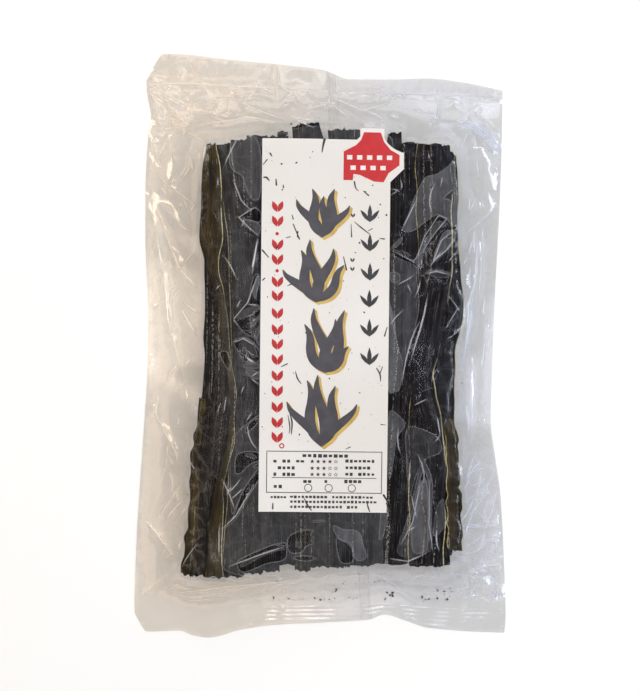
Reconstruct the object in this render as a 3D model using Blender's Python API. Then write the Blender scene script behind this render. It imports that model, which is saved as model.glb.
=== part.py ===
"""A sealed clear-film bag of dried kelp strips, lying on its back with its label up.

The bag is one closed solid out to its film: a flat back, a front that stands over the bundle of
strips, low empty margins at the sides, a plain heat seal at the head and a ribbed seal at the foot.
The label is a paper sticker, a thin sheet that follows the front just above it.

+X runs across the bag, +Y from the foot to the head and +Z out of the front. The origin is the
centre of the bag's box, on the surface that the bag lies on. Plain numbers below are millimetres.
"""

import math

import bmesh
import bpy
import numpy as np

MM = 0.001

# Bag: nominal rectangle that the wavy edges are measured from, and the film's lie
BAG_WIDTH = 212.6
BAG_LENGTH = 334.6
EDGE_THICKNESS = 1.6
HEAD_SEAL = 15.0
FOOT_SEAL = 17.0
GRID_ACROSS = 42
GRID_ALONG = 66

# Each edge is (share of the way along it, inset from the nominal rectangle)
LEFT_EDGE = [(0, 2.8), (0.02, 0), (0.15, 1.2), (0.24, 2.9), (0.35, 5.2), (0.47, 7.5), (0.56, 8.0),
             (0.71, 6.3), (0.79, 6.3), (0.90, 8.0), (0.93, 9.6), (0.99, 6.9), (1, 6.9)]
RIGHT_EDGE = [(0, 0.8), (0.03, 0), (0.15, 1.2), (0.25, 2.9), (0.33, 6.3), (0.39, 8.6), (0.47, 8.0),
              (0.61, 6.3), (0.75, 4.0), (0.89, 2.3), (1, 1.7)]
FOOT_EDGE = [(0, 9.3), (0.02, 3.4), (0.11, 4.0), (0.15, 1.1), (0.19, 0), (0.28, 4.6), (0.38, 7.4),
             (0.50, 8.6), (0.63, 10.3), (0.67, 13.2), (0.73, 9.7), (0.79, 5.7), (0.92, 3.4), (1, 2.8)]
HEAD_EDGE = [(0, 15.5), (0.05, 0), (0.26, 4.0), (0.43, 7.4), (0.50, 9.7), (0.57, 14.6), (0.67, 14.8),
             (0.79, 14.3), (0.89, 16.6), (1, 21.2)]

# Bundle of strips: where its sides run, as (y, x), and how high it stands
BUNDLE_LEFT = [(-130, -75.5), (-80, -70), (-30, -66), (60, -64), (124, -66)]
BUNDLE_RIGHT = [(-130, 78), (-30, 75), (60, 75), (124, 75)]
BUNDLE_FOOT = -128.0
BUNDLE_HEAD = 122.0
CORE_HEIGHT = 21.0
SIDE_HEIGHT = 14.0
SIDE_ROUNDING = 0.6
END_SHARE = 0.86
END_ROUNDING = 0.5

# Empty margins: how steeply the front falls over them, and how far from the bag's edge it lies flat
SIDE_FALL = 1.8
END_FALL = 1.5
LEFT_FLAT = 7.0
RIGHT_FLAT = 5.0
FOOT_FLAT = FOOT_SEAL + 4.0
HEAD_FLAT = HEAD_SEAL + 14.0
LOOSE_FROM_SIDE = 8.0
LOOSE_FADE_SIDE = 6.0
LOOSE_FADE_END = 10.0

# Strips that stand proud of the front: (centre at the foot, centre at the head, width, rise)
STRIPS = [(-66, -58, 15, 1.5), (-48, -45, 12, 0.8), (-24, -33, 9, 1.4), (-4, -2, 22, 0.7),
          (27, 24, 14, 1.2), (50, 45, 13, 1.6), (70, 64, 10, 1.2)]
STRIP_SHOULDER = 4.5
STRIP_END_FADE = 9.0

# Folds of the film: from (x, y) to (x, y), rise, half width; a fold's ends keep this share of its rise
FOLD_END_SHARE = 0.35
FOLDS = [(-99, 80, -78, -18, 2.4, 6), (-92, 76, -66, 30, 2.0, 6), (-99, -31, -83, -67, 2.2, 6),
         (-99, -103, -85, -119, 2.0, 6), (-92, -141, -21, -133, 2.4, 7), (30, -128, 56, -147, 2.6, 6),
         (83, -121, 87, -147, 2.0, 5), (90, 56, 83, 6, 3.0, 6), (84, -66, 98, -104, 2.2, 6),
         (88, 122, 101, 108, 2.8, 6), (-99, 150, -44, 118, 2.4, 6), (-22, 137, -15, 158, 1.8, 5),
         (3, 124, 3, 156, 1.8, 5), (66, 146, 66, 112, 1.8, 5), (14, 135, 48, 142, 1.8, 5)]

# Label: a plain rectangle with a badge that stands out past its upper right corner
LABEL_CENTRE = (2.6, 11.0)
LABEL_SIZE = (72.0, 209.4)
LABEL_TURN = -0.65
LABEL_THICKNESS = 0.4
LABEL_GAP = 0.35
LABEL_MARGIN = 2.0
LABEL_BORDER = 4.0
LABEL_REACH = 9.0

# Badge: places below are measured from its centre
BADGE_CENTRE = (28.2, 105.6)
BADGE_HALF_WIDTH = 17.9
NECK_HALF_WIDTH = 6.8
NECK_TOP = 16.7
SHOULDER_HEIGHT = 3.0
SHOULDER_BEND = (9.5, 5.5)
NECK_FOOT = 11.5
CHAMFER_TOP = -6.0
CHAMFER_FOOT = -13.4
FILLET = 1.8
SHOULDER_POINTS = 6

SHARP_ANGLE = math.radians(35)

FILM_COLOUR = (0.34, 0.33, 0.31, 1)
LABEL_COLOUR = (0.86, 0.85, 0.83, 1)


def through(stations, at):
    """A smooth curve through (place, value) stations that never swings past them."""
    places, values = np.array(stations, float).T
    steps = np.diff(places)
    slopes = np.diff(values) / steps
    before, after = slopes[:-1], slopes[1:]
    level = before * after <= 0
    total = np.where(level, 1.0, before + after)
    inner = np.where(level, 0.0, 2 * before * after / total)
    tangents = np.concatenate([slopes[:1], inner, slopes[-1:]])
    at = np.clip(at, places[0], places[-1])
    i = np.clip(np.searchsorted(places, at, side="right") - 1, 0, len(steps) - 1)
    q = (at - places[i]) / steps[i]
    rise = values[i + 1] - values[i]
    bend_in = steps[i] * tangents[i] - rise
    bend_out = rise - steps[i] * tangents[i + 1]
    return values[i] + q * rise + q * (1 - q) * (bend_in * (1 - q) + bend_out * q)


def smooth_step(q):
    q = np.clip(q, 0, 1)
    return q * q * (3 - 2 * q)


def bag_place(across, along):
    """Where the point at these shares of the bag's width and length lies, as x and y."""
    left = -BAG_WIDTH / 2 + through(LEFT_EDGE, along)
    right = BAG_WIDTH / 2 - through(RIGHT_EDGE, along)
    foot = -BAG_LENGTH / 2 + through(FOOT_EDGE, across)
    head = BAG_LENGTH / 2 - through(HEAD_EDGE, across)
    return left + across * (right - left), foot + along * (head - foot)


def label_cover(x, y):
    """1 under the label, where the stuck paper holds the film smooth, falling to 0 around it."""
    dx = np.abs(x - LABEL_CENTRE[0]) - LABEL_SIZE[0] / 2
    dy = np.abs(y - LABEL_CENTRE[1]) - LABEL_SIZE[1] / 2
    beside_label = np.hypot(np.maximum(dx, 0), np.maximum(dy, 0))
    beside_badge = np.hypot(x - BADGE_CENTRE[0], y - BADGE_CENTRE[1]) - BADGE_HALF_WIDTH
    nearest = np.minimum(beside_label, beside_badge) - LABEL_BORDER
    return smooth_step(1 - nearest / LABEL_REACH)


def bundle_crown(x, y):
    """Height of the film where it lies on the bundle."""
    left, right = through(BUNDLE_LEFT, y), through(BUNDLE_RIGHT, y)
    u = np.clip((x - left) / (right - left), 0, 1)
    v = np.clip((y - BUNDLE_FOOT) / (BUNDLE_HEAD - BUNDLE_FOOT), 0, 1)
    across = (4 * u * (1 - u)) ** SIDE_ROUNDING
    along = END_SHARE + (1 - END_SHARE) * (4 * v * (1 - v)) ** END_ROUNDING
    return (SIDE_HEIGHT + (CORE_HEIGHT - SIDE_HEIGHT) * across) * along


def outside_share(x, y):
    """0 on the bundle, 1 where the film lies flat at the bag's sides and at its ends."""
    left, right = through(BUNDLE_LEFT, y), through(BUNDLE_RIGHT, y)
    left_room = left + BAG_WIDTH / 2 - LEFT_FLAT
    right_room = BAG_WIDTH / 2 - RIGHT_FLAT - right
    side = np.where(x < 0, (left - x) / left_room, (x - right) / right_room)
    foot_room = BUNDLE_FOOT + BAG_LENGTH / 2 - FOOT_FLAT
    head_room = BAG_LENGTH / 2 - HEAD_FLAT - BUNDLE_HEAD
    end = np.where(y < 0, (BUNDLE_FOOT - y) / foot_room, (y - BUNDLE_HEAD) / head_room)
    return np.clip(side, 0, 1), np.clip(end, 0, 1)


def strip_relief(x, y):
    """Long low steps where single strips stand proud of their neighbours."""
    v = (y - BUNDLE_FOOT) / (BUNDLE_HEAD - BUNDLE_FOOT)
    to_end = np.minimum(y - BUNDLE_FOOT, BUNDLE_HEAD - y)
    relief = np.zeros_like(x)
    for foot_x, head_x, width, rise in STRIPS:
        centre = foot_x + v * (head_x - foot_x)
        relief += rise * smooth_step((width / 2 + STRIP_SHOULDER - np.abs(x - centre)) / STRIP_SHOULDER)
    return relief * smooth_step(to_end / STRIP_END_FADE)


def fold_relief(x, y):
    """Pinched folds of the film: each a straight sharp ridge that dies away at its ends."""
    relief = np.zeros_like(x)
    for x0, y0, x1, y1, rise, half_width in FOLDS:
        length = math.hypot(x1 - x0, y1 - y0)
        along_x, along_y = (x1 - x0) / length, (y1 - y0) / length
        along = (x - x0) * along_x + (y - y0) * along_y
        beside = np.abs((y - y0) * along_x - (x - x0) * along_y)
        q = np.clip(along / length, 0, 1)
        beyond = np.maximum(np.maximum(-along, along - length), 0)
        taper = np.clip(1 - (beside + beyond) / half_width, 0, 1)
        relief += rise * taper * (FOLD_END_SHARE + (1 - FOLD_END_SHARE) * np.sqrt(4 * q * (1 - q)))
    return relief


def front_height(x, y):
    """Height of the bag's front above the surface it lies on, in millimetres."""
    side, end = outside_share(x, y)
    fall = (1 - side) ** SIDE_FALL * (1 - end) ** END_FALL
    smooth = EDGE_THICKNESS + (bundle_crown(x, y) - EDGE_THICKNESS) * fall
    loose = (strip_relief(x, y) + fold_relief(x, y)) * (1 - label_cover(x, y))
    to_edge = BAG_WIDTH / 2 - LOOSE_FROM_SIDE - np.abs(x)
    to_seal = BAG_LENGTH / 2 - HEAD_SEAL - np.abs(y)
    free = smooth_step(to_edge / LOOSE_FADE_SIDE) * smooth_step(to_seal / LOOSE_FADE_END)
    return smooth + loose * free


def material(name, colour, roughness):
    made = bpy.data.materials.new(name)
    made.use_nodes = True
    shader = made.node_tree.nodes["Principled BSDF"]
    shader.inputs["Base Color"].default_value = colour
    shader.inputs["Roughness"].default_value = roughness
    return made


def add_object(name, bm, finish):
    mesh = bpy.data.meshes.new(name)
    bm.to_mesh(mesh)
    bm.free()
    mesh.shade_smooth()
    mesh.set_sharp_from_angle(angle=SHARP_ANGLE)
    made = bpy.data.objects.new(name, mesh)
    bpy.context.scene.collection.objects.link(made)
    if finish:
        made.data.materials.append(finish)
    return made


def grid_points(bm, x, y, z):
    """A lattice of vertices, one for each x, y and z given in millimetres."""
    rows, columns = x.shape
    return [[bm.verts.new((x[i, j] * MM, y[i, j] * MM, z[i, j] * MM)) for j in range(columns)]
            for i in range(rows)]


def skin(bm, lattice, facing_up):
    for low, high in zip(lattice[:-1], lattice[1:]):
        for j in range(len(low) - 1):
            corners = [low[j], low[j + 1], high[j + 1], high[j]]
            bm.faces.new(corners if facing_up else corners[::-1])


def rim(lattice):
    """The lattice's outer vertices in order, anticlockwise seen from above."""
    foot, head = lattice[0], lattice[-1]
    right = [row[-1] for row in lattice[1:-1]]
    left = [row[0] for row in lattice[1:-1]]
    return foot + right + head[::-1] + left[::-1]


def bag_lattice():
    """The x and y of every point of the front, row by row from the foot."""
    across, along = np.meshgrid(np.linspace(0, 1, GRID_ACROSS + 1), np.linspace(0, 1, GRID_ALONG + 1))
    return bag_place(across, along)


def close_side(bm, upper, lower):
    """A wall of quads between two matching rims."""
    for i in range(len(upper)):
        j = (i + 1) % len(upper)
        bm.faces.new([upper[j], upper[i], lower[i], lower[j]])


def make_bag(finish):
    """The flat-backed pillow: a relief front, a short wall at the film's edge and a plane back."""
    x, y = bag_lattice()
    bm = bmesh.new()
    front = grid_points(bm, x, y, front_height(x, y))
    skin(bm, front, facing_up=True)
    front_rim = rim(front)
    back_rim = [bm.verts.new((v.co.x, v.co.y, 0)) for v in front_rim]
    close_side(bm, front_rim, back_rim)
    bm.faces.new(back_rim[::-1])
    return add_object("bag", bm, finish)


def label_outline():
    """The sticker's cut edge, anticlockwise from its lower left corner, before it is turned."""
    centre_x, centre_y = LABEL_CENTRE
    left, right = centre_x - LABEL_SIZE[0] / 2, centre_x + LABEL_SIZE[0] / 2
    low, high = centre_y - LABEL_SIZE[1] / 2, centre_y + LABEL_SIZE[1] / 2
    badge_x, badge_y = BADGE_CENTRE
    shoulder = ((NECK_HALF_WIDTH, NECK_FOOT), SHOULDER_BEND, (BADGE_HALF_WIDTH, SHOULDER_HEIGHT))
    points = [(left, low), (right, low), (right, badge_y + CHAMFER_FOOT)]
    points.append((badge_x + BADGE_HALF_WIDTH, badge_y + CHAMFER_TOP))
    for i in range(SHOULDER_POINTS + 1):
        q = 1 - i / SHOULDER_POINTS
        weights = ((1 - q) ** 2, 2 * q * (1 - q), q * q)
        points.append((badge_x + sum(w * p[0] for w, p in zip(weights, shoulder)),
                       badge_y + sum(w * p[1] for w, p in zip(weights, shoulder))))
    points.append((badge_x + NECK_HALF_WIDTH, badge_y + NECK_TOP))
    points.append((badge_x - NECK_HALF_WIDTH, badge_y + NECK_TOP))
    points.append((badge_x - NECK_HALF_WIDTH, high + FILLET))
    points.append((badge_x - NECK_HALF_WIDTH - FILLET, high))
    points.append((left, high))
    return points


def turned(point):
    """A point of the label, turned with it about its centre."""
    angle = math.radians(LABEL_TURN)
    dx, dy = point[0] - LABEL_CENTRE[0], point[1] - LABEL_CENTRE[1]
    return (LABEL_CENTRE[0] + dx * math.cos(angle) - dy * math.sin(angle),
            LABEL_CENTRE[1] + dx * math.sin(angle) + dy * math.cos(angle))


def make_label(finish):
    """A sheet over the front's own points, trimmed to the sticker's outline."""
    outline = [turned(p) for p in label_outline()]
    xs, ys = zip(*outline)
    x, y = bag_lattice()
    over_x = (x.max(axis=0) > min(xs) - LABEL_MARGIN) & (x.min(axis=0) < max(xs) + LABEL_MARGIN)
    over_y = (y.max(axis=1) > min(ys) - LABEL_MARGIN) & (y.min(axis=1) < max(ys) + LABEL_MARGIN)
    under_label = np.ix_(np.flatnonzero(over_y), np.flatnonzero(over_x))
    x, y = x[under_label], y[under_label]
    under = front_height(x, y) + LABEL_GAP
    bm = bmesh.new()
    back = grid_points(bm, x, y, under)
    face = grid_points(bm, x, y, under + LABEL_THICKNESS)
    skin(bm, back, facing_up=False)
    skin(bm, face, facing_up=True)
    close_side(bm, rim(face), rim(back))
    label = add_object("label", bm, finish)

    bm = bmesh.new()
    floor = [bm.verts.new((px * MM, py * MM, 0)) for px, py in outline]
    prism = bm.faces.new(floor)
    raised = bmesh.ops.extrude_face_region(bm, geom=[prism])["geom"]
    bmesh.ops.translate(bm, verts=[g for g in raised if isinstance(g, bmesh.types.BMVert)],
                        vec=(0, 0, 2 * CORE_HEIGHT * MM))
    bmesh.ops.recalc_face_normals(bm, faces=bm.faces)
    cutter = add_object("label_outline", bm, None)
    cutter.hide_render = True
    cutter.display_type = "WIRE"
    trim = label.modifiers.new("trim", "BOOLEAN")
    trim.operation = "INTERSECT"
    trim.object = cutter
    return label


def main():
    for old in list(bpy.data.objects):
        bpy.data.objects.remove(old)
    make_bag(material("film", FILM_COLOUR, 0.2))
    make_label(material("paper", LABEL_COLOUR, 0.55))


main()
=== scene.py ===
import math
from itertools import product

import bpy
import numpy as np
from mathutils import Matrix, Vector
from mathutils.geometry import delaunay_2d_cdt


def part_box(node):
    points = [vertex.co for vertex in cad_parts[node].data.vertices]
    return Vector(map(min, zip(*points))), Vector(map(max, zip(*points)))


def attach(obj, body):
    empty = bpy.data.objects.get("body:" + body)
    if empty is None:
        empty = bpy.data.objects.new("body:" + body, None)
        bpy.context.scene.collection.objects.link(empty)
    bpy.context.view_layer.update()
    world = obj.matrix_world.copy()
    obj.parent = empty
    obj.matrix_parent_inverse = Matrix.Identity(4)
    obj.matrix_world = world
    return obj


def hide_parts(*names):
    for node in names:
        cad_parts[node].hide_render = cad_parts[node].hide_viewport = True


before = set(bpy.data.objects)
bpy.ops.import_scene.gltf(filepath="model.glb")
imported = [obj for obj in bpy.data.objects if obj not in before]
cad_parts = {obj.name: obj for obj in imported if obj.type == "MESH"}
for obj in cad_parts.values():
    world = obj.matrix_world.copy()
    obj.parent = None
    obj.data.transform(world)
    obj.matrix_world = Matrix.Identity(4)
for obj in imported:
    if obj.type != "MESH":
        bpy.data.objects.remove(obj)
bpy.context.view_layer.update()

# shapes are worked out in millimetres and scaled to metres when their mesh is made
mm = 0.001


# ---- small helpers for curves, node trees and meshes

def ease(q):
    q = np.clip(q, 0, 1)
    return q * q * (3 - 2 * q)


def through(stations, at):
    # smooth curve through (place, value) stations that never swings past them
    places, values = np.array(stations, float).T
    steps = np.diff(places)
    slopes = np.diff(values) / steps
    level = slopes[:-1] * slopes[1:] <= 0
    total = np.where(level, 1.0, slopes[:-1] + slopes[1:])
    inner = np.where(level, 0.0, 2 * slopes[:-1] * slopes[1:] / total)
    tangents = np.concatenate([slopes[:1], inner, slopes[-1:]])
    at = np.clip(at, places[0], places[-1])
    i = np.clip(np.searchsorted(places, at, side="right") - 1, 0, len(steps) - 1)
    q = (at - places[i]) / steps[i]
    rise = values[i + 1] - values[i]
    bendIn = steps[i] * tangents[i] - rise
    bendOut = rise - steps[i] * tangents[i + 1]
    return values[i] + q * rise + q * (1 - q) * (bendIn * (1 - q) + bendOut * q)


def wander(rng, stations, q):
    # smooth random curve between -1 and 1
    knots = [(i / (stations - 1), rng.uniform(-1, 1)) for i in range(stations)]
    return through(knots, q)


class Wire:
    # a node's output that can be used in an expression; each operator adds its node
    def __init__(self, tree, socket):
        self.tree = tree
        self.socket = socket

    def maths(self, operation, *values):
        return self.tree.add("ShaderNodeMath", {"operation": operation}, dict(enumerate(values)))

    def __add__(self, other):
        return self.maths("ADD", self, other)

    def __radd__(self, other):
        return self.maths("ADD", other, self)

    def __sub__(self, other):
        return self.maths("SUBTRACT", self, other)

    def __rsub__(self, other):
        return self.maths("SUBTRACT", other, self)

    def __mul__(self, other):
        return self.maths("MULTIPLY", self, other)

    def __rmul__(self, other):
        return self.maths("MULTIPLY", other, self)

    def __truediv__(self, other):
        return self.maths("DIVIDE", self, other)

    def __pow__(self, other):
        return self.maths("POWER", self, other)

    def over(self, low, high):
        # 0 below low, 1 above high, eased between
        settings = {"interpolation_type": "SMOOTHSTEP"}
        return self.tree.add("ShaderNodeMapRange", settings, {0: self, 1: low, 2: high, 3: 0.0, 4: 1.0})

    def part(self, name):
        return Wire(self.tree, self.socket.node.outputs[name])


class Tree:
    def __init__(self, nodeTree):
        self.nodes = nodeTree.nodes
        self.links = nodeTree.links

    def feed(self, socket, value):
        if isinstance(value, Wire):
            self.links.new(value.socket, socket)
        elif isinstance(value, (list, tuple)) and value and isinstance(value[0], Wire):
            for wire in value[::-1]:
                self.links.new(wire.socket, socket)
        else:
            socket.default_value = value

    def add(self, kind, settings=None, sockets=None, out=0):
        node = self.nodes.new(kind)
        for name, value in (settings or {}).items():
            if name == "stops":
                for element in node.color_ramp.elements[1:]:
                    node.color_ramp.elements.remove(element)
                node.color_ramp.elements[0].position = value[0][0]
                node.color_ramp.elements[0].color = value[0][1]
                for place, colour in value[1:]:
                    node.color_ramp.elements.new(place).color = colour
            else:
                setattr(node, name, value)
        for key, value in (sockets or {}).items():
            self.feed(node.inputs[key], value)
        return Wire(self, node.outputs[out]) if len(node.outputs) else node

    def mix(self, share, first, second):
        sockets = {0: share, 6: first, 7: second}
        return self.add("ShaderNodeMix", {"data_type": "RGBA"}, sockets, 2)

    def vector(self, x, y, z):
        return self.add("ShaderNodeCombineXYZ", None, {0: x, 1: y, 2: z})

    def noise(self, place, scale, detail=3.0, roughness=0.5, distortion=0.0):
        sockets = {"Vector": place, "Scale": scale, "Detail": detail, "Roughness": roughness,
                   "Distortion": distortion}
        return self.add("ShaderNodeTexNoise", {"noise_dimensions": "3D"}, sockets)


def linear(red, green, blue):
    # display colour from 0 to 255 as a shader colour
    def one(value):
        value /= 255
        return value / 12.92 if value <= 0.04045 else ((value + 0.055) / 1.055) ** 2.4
    return (one(red), one(green), one(blue), 1.0)


def newMaterial(name):
    material = bpy.data.materials.new(name)
    material.use_nodes = True
    material.node_tree.nodes.clear()
    tree = Tree(material.node_tree)
    tree.output = tree.add("ShaderNodeOutputMaterial")
    return material, tree


def meshObject(name, points, faces, attributes=None):
    mesh = bpy.data.meshes.new(name)
    mesh.from_pydata([tuple(p) for p in np.asarray(points) * mm], [], faces)
    for key, values in (attributes or {}).items():
        values = np.asarray(values, np.float32)
        kind = "FLOAT_VECTOR" if values.ndim == 2 else "FLOAT"
        layer = mesh.attributes.new(key, kind, "POINT")
        layer.data.foreach_set("vector" if values.ndim == 2 else "value", values.ravel())
    made = bpy.data.objects.new(name, mesh)
    bpy.context.scene.collection.objects.link(made)
    return made


def geometryTree(name, inputs):
    # an empty Geometry Nodes tree with the named inputs; returns the group, its tree and its wires
    group = bpy.data.node_groups.new(name, "GeometryNodeTree")
    group.interface.new_socket("Geometry", in_out="INPUT", socket_type="NodeSocketGeometry")
    for label, (kind, value) in inputs.items():
        socket = group.interface.new_socket(label, in_out="INPUT", socket_type=kind)
        if value is not None:
            socket.default_value = value
    group.interface.new_socket("Geometry", in_out="OUTPUT", socket_type="NodeSocketGeometry")
    tree = Tree(group)
    entry = tree.add("NodeGroupInput")
    wires = {label: entry.part(label) for label in inputs}
    wires["Geometry"] = entry.part("Geometry")
    return group, tree, wires


def finishTree(tree, geometry, material):
    realized = tree.add("GeometryNodeRealizeInstances", None, {"Geometry": geometry})
    done = tree.add("GeometryNodeSetMaterial", None, {"Geometry": realized, "Material": material})
    tree.add("NodeGroupOutput", None, {"Geometry": done})


def grow(made, group, values):
    # runs a tree on an object, then leaves the result as its plain mesh
    modifier = made.modifiers.new(group.name, "NODES")
    modifier.node_group = group
    for item in group.interface.items_tree:
        if item.item_type == "SOCKET" and item.in_out == "INPUT" and item.name in values:
            modifier[item.identifier] = values[item.name]
    graph = bpy.context.evaluated_depsgraph_get()
    mesh = bpy.data.meshes.new_from_object(made.evaluated_get(graph), depsgraph=graph)
    made.modifiers.remove(modifier)
    made.data = mesh
    return made


def soften(made, angle):
    made.data.shade_smooth()
    made.data.set_sharp_from_angle(angle=math.radians(angle))


# ---- the bag's outline, measured in from the sides of its box

bagPlan = {
    "left": [(0, 2.8), (0.02, 0), (0.15, 1.2), (0.24, 2.9), (0.35, 5.2), (0.47, 7.5), (0.56, 8.0),
             (0.71, 6.3), (0.79, 6.3), (0.90, 8.0), (0.93, 9.6), (0.99, 6.9), (1, 6.9)],
    "right": [(0, 0.8), (0.03, 0), (0.15, 1.2), (0.25, 2.9), (0.33, 6.3), (0.39, 8.6), (0.47, 8.0),
              (0.61, 6.3), (0.75, 4.0), (0.89, 2.3), (1, 1.7)],
    "foot": [(0, 9.3), (0.02, 3.4), (0.11, 4.0), (0.15, 1.1), (0.19, 0), (0.28, 4.6), (0.38, 7.4),
             (0.50, 8.6), (0.63, 10.3), (0.67, 13.2), (0.73, 9.7), (0.79, 5.7), (0.92, 3.4), (1, 2.8)],
    "head": [(0, 15.5), (0.05, 0), (0.26, 4.0), (0.43, 7.4), (0.50, 9.7), (0.57, 14.6), (0.67, 14.8),
             (0.79, 14.3), (0.89, 16.6), (1, 21.2)],
    "rimStep": 1.8,
    "footSeal": 17.5,
}
bagLow, bagHigh = (np.array(corner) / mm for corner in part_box("bag"))


def bagPoint(across, along):
    left = bagLow[0] + through(bagPlan["left"], along)
    right = bagHigh[0] - through(bagPlan["right"], along)
    foot = bagLow[1] + through(bagPlan["foot"], across)
    head = bagHigh[1] - through(bagPlan["head"], across)
    return left + across * (right - left), foot + along * (head - foot)


def bagRim():
    # points round the edge, anticlockwise from the lower left corner
    width, length = (bagHigh - bagLow)[:2]
    acrossCount, alongCount = int(width / bagPlan["rimStep"]), int(length / bagPlan["rimStep"])
    rise, run = np.arange(alongCount) / alongCount, np.arange(acrossCount) / acrossCount
    sides = [bagPoint(run, run * 0), bagPoint(rise * 0 + 1, rise),
             bagPoint(1 - run, run * 0 + 1), bagPoint(rise * 0, 1 - rise)]
    return np.concatenate([np.stack(side, axis=1) for side in sides])


rim = bagRim()


def rimDistance(x, y):
    nearest = np.full(np.shape(x), 1e9)
    for a, b in zip(rim, np.roll(rim, -1, axis=0)):
        span = b - a
        q = np.clip(((x - a[0]) * span[0] + (y - a[1]) * span[1]) / (span @ span), 0, 1)
        nearest = np.minimum(nearest, (x - a[0] - q * span[0]) ** 2 + (y - a[1] - q * span[1]) ** 2)
    return np.sqrt(nearest)


def insideLoop(loop, x, y):
    inside = np.zeros(np.shape(x), bool)
    for a, b in zip(loop, np.roll(loop, -1, axis=0)):
        if a[1] != b[1]:
            crosses = (a[1] > y) != (b[1] > y)
            inside ^= crosses & (x < a[0] + (y - a[1]) / (b[1] - a[1]) * (b[0] - a[0]))
    return inside


def insideRim(x, y):
    return insideLoop(rim, x, y)


# ---- kelp strips, laid one on another from the back film up

kelp = {
    "seed": 11,
    "cell": 1.0,
    "bed": 1.3,
    "pileTop": 19.6,
    "thickness": 1.7,
    "gap": 0.12,
    "hiddenLayers": 5,
    "hiddenAcross": 7,
    "hiddenWidth": (15, 24),
    "hiddenSides": (0.0, 0.05),
    "leftSide": [(-129, -75), (-92, -70), (-60, -68), (-20, -65), (30, -64), (75, -65.5), (112, -62)],
    "rightSide": [(-129, 76), (-92, 76), (-20, 76), (20, 79), (60, 77), (112, 76)],
    "foot": -123.0,
    "head": 112.0,
    "rows": 112,
    "hiddenRows": 64,
    "columnWidth": 1.25,
    "hiddenColumnWidth": 3.4,
}

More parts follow.
